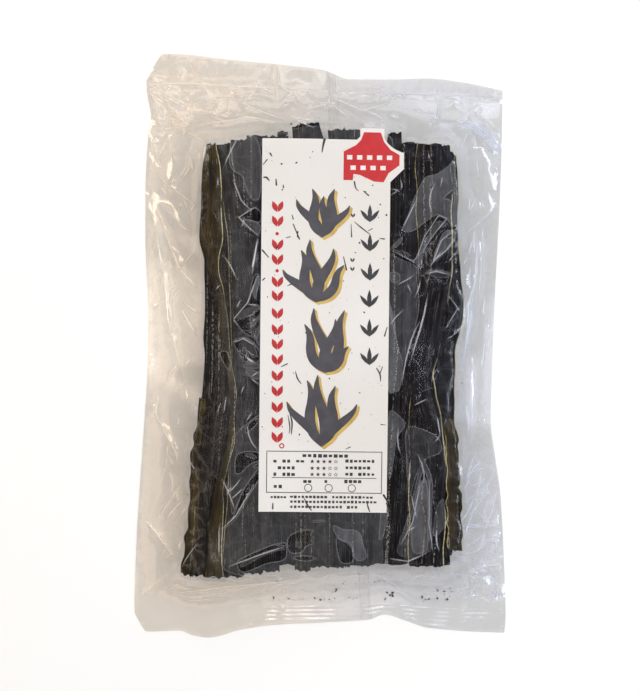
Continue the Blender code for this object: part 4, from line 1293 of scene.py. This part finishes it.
def crumbTree():
    # a small rough flake at each point
    group, tree, given = geometryTree("crumbFlakes", {
        "Roughness": ("NodeSocketFloat", 0.35), "Seed": ("NodeSocketFloat", 3.0),
        "Material": ("NodeSocketMaterial", None)})
    flake = tree.add("GeometryNodeMeshIcoSphere", None, {"Radius": 1.0, "Subdivisions": 2})
    place = tree.add("GeometryNodeInputPosition")
    uneven = tree.add("ShaderNodeTexNoise", {"noise_dimensions": "4D"}, {
        "Vector": place, "W": given["Seed"], "Scale": 1.4, "Detail": 1.0})
    pushed = tree.add("ShaderNodeVectorMath", {"operation": "SCALE"}, {
        0: place, "Scale": (uneven - 0.5) * given["Roughness"] * 4})
    rough = tree.add("GeometryNodeSetPosition", None, {"Geometry": flake, "Offset": pushed})
    size = tree.add("GeometryNodeInputNamedAttribute", {"data_type": "FLOAT_VECTOR"}, {"Name": "size"})
    turn = tree.add("GeometryNodeInputNamedAttribute", {"data_type": "FLOAT"}, {"Name": "turn"})
    points = tree.add("GeometryNodeMeshToPoints", None, {"Mesh": given["Geometry"]})
    placed = tree.add("GeometryNodeInstanceOnPoints", None, {
        "Points": points, "Instance": rough, "Rotation": tree.vector(0.0, 0.0, turn), "Scale": size})
    finishTree(tree, placed, given["Material"])
    return group


def makeCrumbs():
    rng = np.random.default_rng(crumbs["seed"])
    rows = []
    for (left, right), (low, high), count, small, large in crumbs["patches"]:
        for _ in range(count):
            half = small + (large - small) * rng.uniform() ** 2
            rows.append((rng.uniform(left, right), rng.uniform(low, high), half, rng.uniform(0, math.pi),
                         rng.uniform(0.35, 0.8)))
    x, y, half, turn, slim = np.array(rows).T
    z = backHeight(x, y) + crumbs["thickness"] + 0.12
    places = np.stack([x, y, z], axis=1)
    size = np.stack([half, half * slim, np.full_like(half, crumbs["thickness"])], axis=1) * mm
    lay = np.stack([x * 3, y * 2, turn * 20], axis=1)
    made = meshObject("kelpCrumbs", places, [], {"size": size, "turn": turn, "lay": lay, "tone": slim - 0.3})
    grow(made, crumbTree(), {"Roughness": 0.35, "Seed": 3.0, "Material": kelpMaterial})
    made.data.shade_smooth()
    return made


finSeam = makeSeam()
kelpCrumbs = makeCrumbs()
print("seam and crumbs:", len(finSeam.data.polygons), len(kelpCrumbs.data.polygons))


# ---- label and its print, drawn flat from the label's middle and then laid on the drape

labelParts = {
    "badge": (25.6, 94.6),
    "neck": [(6.8, 11.5), (9.5, 5.5), (17.9, 3.0)],
    "neckTop": 16.7,
    "chamfer": (-6.0, -13.4),
    "fillet": 1.8,
    "step": 2.0,
    "lifts": {"gold": 0.05, "charcoal": 0.07, "red": 0.07, "black": 0.1, "white": 0.11},
}


def paperLook():
    material, tree = newMaterial("labelPaper")
    place = tree.add("ShaderNodeTexCoord", None, None, "Object")
    fibre = tree.noise(place, 700.0, 4.0, 0.6)
    cloud = tree.noise(place, 14.0, 2.0)
    body = tree.mix(cloud.over(0.3, 0.7), linear(229, 225, 222), linear(223, 218, 214))
    body = tree.mix(fibre.over(0.55, 0.75) * 0.25, body, linear(205, 200, 196))
    bump = tree.add("ShaderNodeBump", None, {"Strength": 0.08, "Distance": 0.0001, "Height": fibre})
    shader = tree.add("ShaderNodeBsdfPrincipled", None, {
        "Base Color": body, "Roughness": 0.42 + fibre * 0.1, "Normal": bump})
    tree.feed(tree.output.inputs[0], shader)
    return material


def inkLook(name, main, worn, gloss):
    material, tree = newMaterial(name)
    place = tree.add("ShaderNodeTexCoord", None, None, "Object")
    mottle = tree.noise(place, 160.0, 3.0, 0.6)
    speck = tree.noise(place, 1500.0, 2.0, 0.6)
    body = tree.mix(mottle.over(0.35, 0.7) * 0.8 + speck.over(0.55, 0.7) * 0.2, main, worn)
    bump = tree.add("ShaderNodeBump", None, {"Strength": 0.05, "Distance": 0.0001, "Height": speck})
    shader = tree.add("ShaderNodeBsdfPrincipled", None, {
        "Base Color": body, "Roughness": gloss + mottle * 0.08, "Normal": bump})
    tree.feed(tree.output.inputs[0], shader)
    return material


def onLabel(x, y):
    # a place on the label, given from its middle, turned with it
    cos, sin = math.cos(label["turn"]), math.sin(label["turn"])
    return label["centre"][0] + x * cos - y * sin, label["centre"][1] + x * sin + y * cos


def layOnLabel(made, lift):
    mesh = made.data
    places = np.empty(len(mesh.vertices) * 3, np.float32)
    mesh.vertices.foreach_get("co", places)
    places = places.reshape(-1, 3).astype(float) / mm
    x, y = onLabel(places[:, 0], places[:, 1])
    top = drape.at(x, y) + label["gap"] + label["thickness"] + lift
    mesh.vertices.foreach_set("co", (np.stack([x, y, top], axis=1) * mm).astype(np.float32).ravel())
    mesh.update()
    return made


def sideBySide(corners, step):
    # a closed outline through the corners with a point about every step
    loop = [resample([a, b], step)[:-1] for a, b in zip(corners, corners[1:] + corners[:1])]
    return np.concatenate(loop)


def plate(*loops):
    # a flat shape with straight or drawn outlines; a loop inside another is a hole
    def covers(x, y):
        inside = np.zeros(np.shape(x), bool)
        for loop in loops:
            inside ^= insideLoop(loop, x, y)
        return inside
    return {"loops": list(loops), "covers": covers}


def bend(points, step):
    # a smooth curve through the points
    points = np.array(points, float)
    ends = np.concatenate([[2 * points[0] - points[1]], points, [2 * points[-1] - points[-2]]])
    curve = []
    for a, b, c, d in zip(ends, ends[1:], ends[2:], ends[3:]):
        count = max(2, int(np.hypot(*(c - b)) / step))
        t = (np.arange(count) / count)[:, None]
        curve.append(0.5 * (2 * b + (c - a) * t + (2 * a - 5 * b + 4 * c - d) * t ** 2
                            + (3 * b - 3 * c + d - a) * t ** 3))
    return np.concatenate(curve + [points[-1:]])


def brush(points, widths, step=0.7):
    # a brush stroke: a smooth line whose width changes along it, with round ends
    line = bend(points, step)
    lengths = np.concatenate([[0], np.cumsum(np.hypot(*np.diff(line, axis=0).T))])
    half = through(list(zip(np.linspace(0, 1, len(widths)), widths)), lengths / lengths[-1]) / 2
    way = np.gradient(line, axis=0)
    way /= np.hypot(way[:, 0], way[:, 1])[:, None]
    aside = np.stack([-way[:, 1], way[:, 0]], axis=1)
    turns = np.linspace(0, math.pi, 5)[1:-1, None]
    cap = line[-1] + half[-1] * (np.cos(turns) * aside[-1] + np.sin(turns) * way[-1])
    tail = line[0] - half[0] * (np.cos(turns) * aside[0] + np.sin(turns) * way[0])
    loop = np.concatenate([line + aside * half[:, None], cap, (line - aside * half[:, None])[::-1], tail])

    def covers(x, y):
        inside = np.zeros(np.shape(x), bool)
        for a, b, ra, rb in zip(line, line[1:], half, half[1:]):
            span = b - a
            q = np.clip(((x - a[0]) * span[0] + (y - a[1]) * span[1]) / max(span @ span, 1e-9), 0, 1)
            away = np.hypot(x - a[0] - q * span[0], y - a[1] - q * span[1])
            inside |= away < ra + (rb - ra) * q
        return inside
    return {"loops": [loop], "covers": covers}


def moved(shape, dx, dy):
    return {"loops": [loop + (dx, dy) for loop in shape["loops"]],
            "covers": lambda x, y: shape["covers"](x - dx, y - dy)}


def flatShapes(name, shapes, material, lift, cut=()):
    # one thin sheet over all the shapes, without what the cut shapes cover
    loops = [loop for shape in (*shapes, *cut) for loop in shape["loops"]]
    low = np.min([loop.min(axis=0) for loop in loops], axis=0)
    high = np.max([loop.max(axis=0) for loop in loops], axis=0)
    x, y = np.meshgrid(np.arange(low[0], high[0], 1.9), np.arange(low[1], high[1], 1.9))
    x, y = x.ravel(), y.ravel()

    def covered(x, y):
        inside = np.any([shape["covers"](x, y) for shape in shapes], axis=0)
        for shape in cut:
            inside &= ~shape["covers"](x, y)
        return inside
    inner = covered(x, y)
    points = np.stack([x[inner], y[inner]], axis=1)
    places, faces = triangulate(points, [], loops, 1.0, covered)
    made = meshObject(name, np.column_stack([places, places[:, 0] * 0]), faces.tolist())
    made.data.materials.append(material)
    layOnLabel(made, lift)
    made.data.shade_smooth()
    return made


def makeLabel():
    halfWidth, halfLength = (size / 2 for size in label["size"])
    bx, by = labelParts["badge"]
    neck = labelParts["neck"]
    shoulder = []
    for q in np.linspace(1, 0, 9):
        weights = ((1 - q) ** 2, 2 * q * (1 - q), q * q)
        shoulder.append((bx + sum(w * p[0] for w, p in zip(weights, neck)),
                         by + sum(w * p[1] for w, p in zip(weights, neck))))
    neckHalf, top = neck[0][0], by + labelParts["neckTop"]
    chamferTop, chamferFoot = labelParts["chamfer"]
    corners = [(-halfWidth, -halfLength), (halfWidth, -halfLength), (halfWidth, by + chamferFoot),
               (bx + neck[2][0], by + chamferTop), *shoulder, (bx + neckHalf, top), (bx - neckHalf, top),
               (bx - neckHalf, halfLength + labelParts["fillet"]),
               (bx - neckHalf - labelParts["fillet"], halfLength), (-halfWidth, halfLength)]
    outline = sideBySide(corners, labelParts["step"])
    covers = plate(outline)["covers"]
    step = labelParts["step"]
    x, y = (field.ravel() for field in np.meshgrid(np.arange(-halfWidth + step, halfWidth + 12, step),
                                                   np.arange(-halfLength + step, halfLength + 12, step)))
    inner = covers(x, y) & covers(x + 1, y) & covers(x - 1, y) & covers(x, y + 1) & covers(x, y - 1)
    places, faces = triangulate(np.stack([x[inner], y[inner]], axis=1), [], [outline], 2.0, covers)
    px, py = onLabel(places[:, 0], places[:, 1])
    z = drape.at(px, py) + label["gap"]
    lay = np.stack([places[:, 1], places[:, 0], px * 0], axis=1)
    made = meshObject("labelPaper", np.stack([px, py, z], axis=1), faces.tolist(),
                      {"thick": px * 0 + label["thickness"], "lay": lay})
    grow(made, thicken, {"Ridge Height": 0.0, "Material": paperLook()})
    soften(made, 30)
    return made


# four tufts of kelp fronds in heavy brush strokes: where each grows from, then its fronds, each as
# how far it leans, how tall it is, how much it sways and how wide it is
tufts = [
    ((-2.0, 50.5), [(-13, 20, 2.2, 5.2), (-7, 26, -2.0, 6.0), (2, 22, 1.8, 5.6), (8, 26, 2.0, 6.2),
                    (14, 17, -1.8, 4.8)]),
    ((-5.0, 14.0), [(-17, 17, 2.4, 5.2), (-10, 28, -2.2, 6.2), (-2, 34, 2.4, 6.4), (8, 29, -2.2, 6.2),
                    (17, 20, 2.2, 5.4)]),
    ((0.5, -25.5), [(-13, 26, -2.0, 5.8), (-5, 35, 2.4, 6.2), (4, 29, -2.2, 6.0), (12, 34, 2.2, 5.8),
                    (14, 14, 1.5, 4.6)]),
    ((-1.0, -67.0), [(-18, 24, 2.4, 5.4), (-10, 36, -2.4, 6.2), (-1, 39, 2.2, 6.4), (9, 33, 2.4, 6.2),
                     (18, 23, -2.2, 5.2)]),
]


def frond(foot, lean, tall, sway, wide):
    points = []
    for q in np.linspace(0, 1, 7):
        points.append((foot[0] + lean * q ** 0.8 + sway * math.sin(q * 5.5), foot[1] + tall * q))
    return brush(points, [wide * share for share in (0.3, 0.8, 1.0, 0.95, 0.8, 0.55, 0.12)])


# thin ink strokes scattered over the paper
inkStrokes = [
    ([(-1.2, 104.4), (-1.9, 101.5), (-2.6, 97.3)], [1.4, 1.0, 0.5]),
    ([(-35.4, 90.0), (-33.2, 92.8)], [0.4, 0.6]),
    ([(-31.6, 96.3), (-30.6, 94.7)], [0.9, 0.5]),
    ([(-35.0, 82.8), (-33.5, 82.8), (-31.8, 80.9)], [0.8, 1.0, 0.4]),
    ([(-28.2, 81.9), (-27.9, 78.7)], [0.6, 1.0]),
    ([(-24.1, 78.7), (-24.0, 77.3)], [0.5, 0.8]),
    ([(-18.3, 56.9), (-14.7, 48.6)], [0.5, 0.8]),
    ([(-19.0, 62.1), (-18.3, 59.8)], [0.4, 0.7]),
    ([(16.1, 58.6), (20.0, 55.4), (24.5, 52.0)], [0.3, 0.7, 0.4]),
    ([(23.8, 53.6), (26.1, 54.9)], [0.3, 0.5]),
    ([(14.2, 57.3), (14.6, 50.2)], [0.3, 0.7]),
    ([(15.8, 81.1), (16.5, 77.9), (18.1, 76.0)], [0.9, 0.7, 0.3]),
    ([(21.0, 76.0), (23.9, 73.5)], [0.5, 0.8]),
    ([(10.2, 38.9), (11.9, 31.6)], [0.4, 0.8]),
    ([(-35.3, 42.0), (-31.9, 38.1)], [0.9, 0.5]),
    ([(-21.1, 22.2), (-18.9, 23.2), (-17.0, 22.9)], [0.3, 0.7, 0.4]),
    ([(-22.1, 49.2), (-19.8, 49.8)], [0.4, 0.5]),
    ([(30.3, 49.5), (32.9, 49.2)], [0.3, 0.8]),
    ([(-35.0, 25.2), (-33.7, 26.5)], [0.7, 0.5]),
    ([(-16.1, -25.6), (-14.9, -29.7), (-12.8, -32.5)], [0.3, 0.8, 0.5]),
    ([(-19.2, -48.6), (-17.7, -54.3), (-18.0, -60.9)], [0.4, 0.9, 0.5]),
    ([(-20.0, -50.3), (-18.9, -56.8), (-19.2, -60.5)], [0.3, 0.7, 0.4]),
    ([(-24.0, -23.2), (-20.7, -21.5)], [0.4, 0.7]),
    ([(29.4, -23.4), (31.3, -26.7), (31.8, -30.8)], [0.6, 0.9, 0.4]),
    ([(31.3, -26.7), (32.7, -22.5)], [0.6, 0.4]),
    ([(33.7, -5.3), (35.1, -0.3)], [0.8, 0.4]),
    ([(34.3, -94.8), (36.2, -98.1), (35.6, -99.9)], [1.2, 0.9, 0.4]),
    ([(-10.4, -97.0), (-8.3, -101.1), (-6.2, -103.7)], [0.4, 0.9, 0.5]),
    ([(24.9, -99.0), (25.8, -102.3), (26.6, -104.2)], [0.4, 0.8, 0.5]),
    ([(12.7, -69.0), (15.1, -67.9)], [0.3, 0.6]),
    ([(-28.0, -102.9), (-27.9, -100.0)], [0.9, 0.6]),
    ([(32.3, -55.0), (34.7, -55.2)], [0.6, 0.3]),
]


def circle(x, y, radius, count=24):
    turns = np.arange(count) / count * 2 * math.pi
    return np.stack([x + radius * np.cos(turns), y + radius * np.sin(turns)], axis=1)


def box(left, low, right, high):
    return sideBySide([(left, low), (right, low), (right, high), (left, high)], 3.0)


badgeField = [(9.6, 82.0), (14.9, 82.0), (15.2, 85.6), (18.8, 85.0), (26.7, 81.4), (32.2, 81.0),
              (35.0, 86.2), (41.0, 90.6), (41.0, 96.4), (36.0, 99.2), (32.2, 103.8), (30.4, 109.0),
              (20.9, 109.0), (19.3, 104.6), (16.4, 101.6), (9.6, 98.0)]


def markTree():
    # small flat marks, one at each point: circles, bars, stars or leaves, by the inputs
    group, tree, given = geometryTree("printMarks", {
        "Corners": ("NodeSocketInt", 4), "Inner Share": ("NodeSocketFloat", 1.0),
        "Pointed": ("NodeSocketFloat", 0.0), "First Turn": ("NodeSocketFloat", 0.0),
        "Material": ("NodeSocketMaterial", None)})
    shape = tree.add("GeometryNodeMeshCircle", {"fill_type": "NGON"}, {
        "Vertices": given["Corners"], "Radius": 1.0})
    index = tree.add("GeometryNodeInputIndex")
    odd = tree.add("ShaderNodeMath", {"operation": "MODULO"}, {0: index, 1: 2.0})
    place = tree.add("GeometryNodeInputPosition")
    parts = tree.add("ShaderNodeSeparateXYZ", None, {0: place})
    share = 1 - odd * (1 - given["Inner Share"])
    lens = 1 - given["Pointed"] * parts * parts
    shaped = tree.add("GeometryNodeSetPosition", None, {
        "Geometry": shape, "Position": tree.vector(parts * share, parts.part("Y") * share * lens, 0.0)})
    start = tree.add("GeometryNodeTransform", None, {
        "Geometry": shaped, "Rotation": tree.vector(0.0, 0.0, given["First Turn"])})
    size = tree.add("GeometryNodeInputNamedAttribute", {"data_type": "FLOAT_VECTOR"}, {"Name": "size"})
    turn = tree.add("GeometryNodeInputNamedAttribute", {"data_type": "FLOAT"}, {"Name": "turn"})
    points = tree.add("GeometryNodeMeshToPoints", None, {"Mesh": given["Geometry"]})
    placed = tree.add("GeometryNodeInstanceOnPoints", None, {
        "Points": points, "Instance": start, "Rotation": tree.vector(0.0, 0.0, turn), "Scale": size})
    finishTree(tree, placed, given["Material"])
    return group


marks = markTree()


def printMarks(name, rows, material, lift, values):
    # rows of (x, y, half length, half height, turn)
    rows = np.array(rows, float)
    size = np.stack([rows[:, 2], rows[:, 3], rows[:, 2]], axis=1) * mm
    places = np.stack([rows[:, 0], rows[:, 1], rows[:, 0] * 0], axis=1)
    made = meshObject(name, places, [], {"size": size, "turn": rows[:, 4]})
    grow(made, marks, {**values, "Material": material})
    return layOnLabel(made, lift)


def printWords(left, right, y, height, rng):
    # a line of small blocks in place of words
    pitch = height * 1.22
    blocks = []
    for x in np.arange(left + pitch / 2, right, pitch):
        if rng.uniform() > 0.06:
            blocks.append((x, y + rng.uniform(-0.06, 0.06), height * rng.uniform(0.48, 0.68),
                           height * rng.uniform(0.42, 0.66), 0))
    return blocks


def join(name, pieces):
    with bpy.context.temp_override(active_object=pieces[0], selected_editable_objects=pieces):
        bpy.ops.object.join()
    pieces[0].name = name
    return pieces[0]


def makePrint():
    rng = np.random.default_rng(21)
    charcoal = inkLook("charcoalInk", linear(58, 56, 64), linear(74, 72, 80), 0.34)
    gold = inkLook("goldInk", linear(206, 174, 92), linear(182, 148, 70), 0.3)
    red = inkLook("redInk", linear(190, 12, 24), linear(198, 28, 36), 0.34)
    darkRed = inkLook("deepRedInk", linear(176, 16, 22), linear(188, 30, 32), 0.36)
    black = inkLook("blackInk", linear(34, 32, 36), linear(58, 56, 60), 0.36)
    white = inkLook("whiteInk", linear(232, 228, 226), linear(220, 214, 212), 0.4)
    lifts = labelParts["lifts"]
    quad = {"Corners": 4, "First Turn": math.pi / 4}
    leaf = {"Corners": 14, "Pointed": 0.85}

    strokes = [frond(foot, *shape) for foot, fronds in tufts for shape in fronds]
    shadows = [moved(stroke, dx, dy) for stroke in strokes for dx, dy in ((0.9, -0.75), (1.5, -1.35))]
    pieces = [flatShapes("printCharcoal", strokes, charcoal, lifts["charcoal"]),
              flatShapes("printGold", shadows, gold, lifts["gold"], strokes)]

    field = flatShapes("printRed", [plate(sideBySide(badgeField, 2.0))], red, lifts["red"])
    dabs = []
    for y in (66.3, 58.1, 44.9, 36.6, 24.1, 16.2, 6.4, -2.7, -10.9, -19.5, -28.6, -37.2, -46.2, -54.8, -63.1):
        x = -27.1 + (66 - y) * 0.009
        dabs += [(x - 1.6, y + 0.3, 3.4, 1.5, 1.98), (x + 1.6, y + 0.3, 3.4, 1.5, 1.16)]
    column = printMarks("redColumn", dabs, darkRed, lifts["red"], leaf)
    dots = printMarks("redDots", [(-27.2, 51.4, 0.95, 0.95, 0), (-27.0, 30.6, 0.95, 0.95, 0)], darkRed,
                      lifts["red"], {"Corners": 16})
    ring = flatShapes("redRing", [plate(circle(-23.3, -67.6, 1.5), circle(-23.3, -67.6, 0.85))], darkRed,
                      lifts["red"])
    pieces.append(join("printRed", [field, column, dots, ring]))

    bars = [(13.0 + 5.6 * i, 94.8, 2.1, 1.75, 0) for i in range(5)]
    bars += [(15.0 + 5.6 * i, 89.0, 2.1, 1.75, 0) for i in range(4)]
    starRows = [(-6.1 + 3.33 * i, y, 1.35, 1.35, math.pi / 2) for y in (-76.2, -80.0, -83.5) for i in range(5)]
    hollow = [4, 8, 9, 13, 14]
    pieces.append(join("printWhite", [
        printMarks("badgeBars", bars, white, lifts["white"], quad),
        printMarks("starHoles", [(*starRows[i][:2], 0.75, 0.75, math.pi / 2) for i in hollow], white,
                   lifts["white"] + 0.03, {"Corners": 10, "Inner Share": 0.42})]))

    frames = [plate(box(-31.8, -94.0, 33.2, -70.4), box(-31.4, -93.6, 32.8, -70.8)),
              plate(box(-28.6, -85.6, 30.1, -85.25))]
    frames += [plate(circle(x, -91.7 + 0.6, 2.25), circle(x, -91.7 + 0.6, 1.85)) for x in (-8.2, 3.3, 16.3)]
    lines = flatShapes("printBlack", frames, black, lifts["black"])
    scatter = flatShapes("inkStrokes", [brush(points, widths, 0.5) for points, widths in inkStrokes], black,
                         lifts["black"])
    words = printWords(-12.0, 13.6, -73.0, 2.4, rng)
    for left, right, y, height in (
            (-28.3, -11.0, -76.2, 2.1), (-28.3, -15.1, -79.9, 2.1), (-28.3, -15.5, -83.6, 2.1),
            (12.2, 29.0, -75.8, 2.0), (12.2, 29.0, -79.6, 2.0), (12.2, 29.0, -83.2, 2.0),
            (-11.3, -5.2, -87.5, 2.1), (0.4, 6.4, -87.4, 2.1), (11.7, 21.1, -87.3, 2.1),
            (-28.1, -21.4, -90.4, 2.3), (-29.5, -20.5, -96.4, 1.5),
            (-18.6, 29.4, -96.2, 1.75), (-18.6, 29.5, -98.9, 1.75), (-18.6, 19.2, -101.8, 1.75)):
        words += printWords(left, right, y, height, rng)
    tiny = [(15.2 + dx, y, 1.3, 0.5, turn) for y in (62.3, 37.2, 32.2)
            for dx, turn in ((-0.6, 1.95), (0.6, 1.2))]
    sprigs = []
    for x, y in ((24.7, 62.6), (24.9, 46.2), (25.1, 29.8), (24.9, 14.7), (25.1, -1.7), (25.3, -17.7)):
        sprigs += [(x, y + 0.8, 5.2, 1.3, 1.57), (x - 2.6, y - 0.6, 4.4, 1.15, 2.25),
                   (x + 2.6, y - 0.6, 4.4, 1.15, 0.9)]
    specks = []
    for _ in range(120):
        x, y = rng.uniform(-35, 35), rng.uniform(-66, 101)
        size = 0.12 + 0.42 * rng.uniform() ** 3
        if not any(stroke["covers"](np.array([x]), np.array([y]))[0] for stroke in strokes):
            specks.append((x, y, size * rng.uniform(1, 1.8), size, rng.uniform(0, 3)))
    pieces.append(join("printBlack", [
        lines, scatter,
        printMarks("words", words, black, lifts["black"], quad),
        printMarks("leafMarks", tiny + sprigs, black, lifts["black"], leaf),
        printMarks("stars", starRows, black, lifts["black"], {"Corners": 10, "Inner Share": 0.42}),
        printMarks("specks", specks, black, lifts["black"], {"Corners": 8})]))
    return pieces


labelPieces = [makeLabel(), *makePrint()]
print("label pieces:", [len(piece.data.polygons) for piece in labelPieces])


# ---- floor, lights and camera

def floorLook():
    material, tree = newMaterial("paleFloor")
    shader = tree.add("ShaderNodeBsdfPrincipled", None, {
        "Base Color": (0.96, 0.96, 0.96, 1), "Roughness": 0.9, "Specular IOR Level": 0.0})
    tree.feed(tree.output.inputs[0], shader)
    return material


def makeFloor():
    size = 3000
    made = meshObject("floor", [(-size, -size, 0), (size, -size, 0), (size, size, 0), (-size, size, 0)],
                      [(0, 1, 2, 3)])
    made.data.materials.append(floorLook())


studio = {
    "world": (0.13, 0.13, 0.135),
    # each panel: its name, place, width and height in metres, how bright it looks, and its colour
    "panels": [
        ("overheadLeft", (-0.14, 0.03, 1.6), 0.20, 0.66, 3.25, (1.0, 0.98, 0.97)),
        ("overheadFoot", (0.02, -0.36, 1.6), 0.24, 0.28, 1.3, (1.0, 0.96, 0.91)),
        ("overheadRight", (0.24, -0.06, 1.6), 0.12, 0.84, 3.1, (0.96, 0.98, 1.0)),
        ("overheadHeadLeft", (-0.23, 0.60, 1.6), 0.44, 0.38, 1.75, (1.0, 0.94, 0.84)),
        ("overheadHeadRight", (0.23, 0.59, 1.6), 0.44, 0.42, 3.4, (0.98, 0.98, 1.0)),
        ("leftWall", (-1.0, 0.0, 1.2), 1.8, 0.85, 1.3, (1.0, 0.83, 0.64)),
        ("rightWall", (1.0, 0.0, 1.2), 1.8, 0.85, 1.27, (0.74, 0.87, 1.0)),
        ("headWall", (0.1, 1.35, 0.85), 1.6, 1.0, 2.1, (1.0, 0.99, 0.97)),
        ("footWall", (0.0, -1.35, 0.85), 1.6, 1.0, 1.1, (1.0, 0.99, 0.97)),
        ("rightStrip", (1.0, 0.05, 0.8), 1.0, 0.13, 11, (0.96, 0.98, 1.0)),
        ("leftStrip", (-0.9, 0.4, 0.9), 0.10, 0.8, 9, (1.0, 0.95, 0.88)),
    ],
}


def lightStudio():
    world = bpy.data.worlds.new("studio")
    world.use_nodes = True
    world.node_tree.nodes["Background"].inputs[0].default_value = (*studio["world"], 1)
    bpy.context.scene.world = world
    for name, place, width, height, brightness, colour in studio["panels"]:
        lamp = bpy.data.lights.new(name, "AREA")
        lamp.shape = "RECTANGLE"
        lamp.size, lamp.size_y = width, height
        lamp.energy = brightness * math.pi * width * height
        lamp.color = colour
        made = bpy.data.objects.new(name, lamp)
        made.location = place
        made.rotation_euler = (-Vector(place)).to_track_quat("-Z", "Y").to_euler()
        made.visible_camera = False
        bpy.context.scene.collection.objects.link(made)


cameraPlan = {"distance": 0.95, "viewHeight": 0.396, "sensor": 36.0, "place": (0.0, 0.0)}


def aimCamera():
    lens = bpy.data.cameras.new("camera")
    lens.sensor_width = cameraPlan["sensor"]
    lens.lens = cameraPlan["sensor"] * cameraPlan["distance"] / cameraPlan["viewHeight"]
    made = bpy.data.objects.new("camera", lens)
    made.location = (*cameraPlan["place"], cameraPlan["distance"])
    bpy.context.scene.collection.objects.link(made)
    bpy.context.scene.camera = made


makeFloor()
lightStudio()
aimCamera()
bpy.context.scene.view_settings.view_transform = "Standard"

for piece in (*kelpPieces, kelpCrumbs, filmFront, filmBack, finSeam):
    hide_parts("bag")
    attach(piece, "root")
for piece in labelPieces:
    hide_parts("label")
    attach(piece, "root")
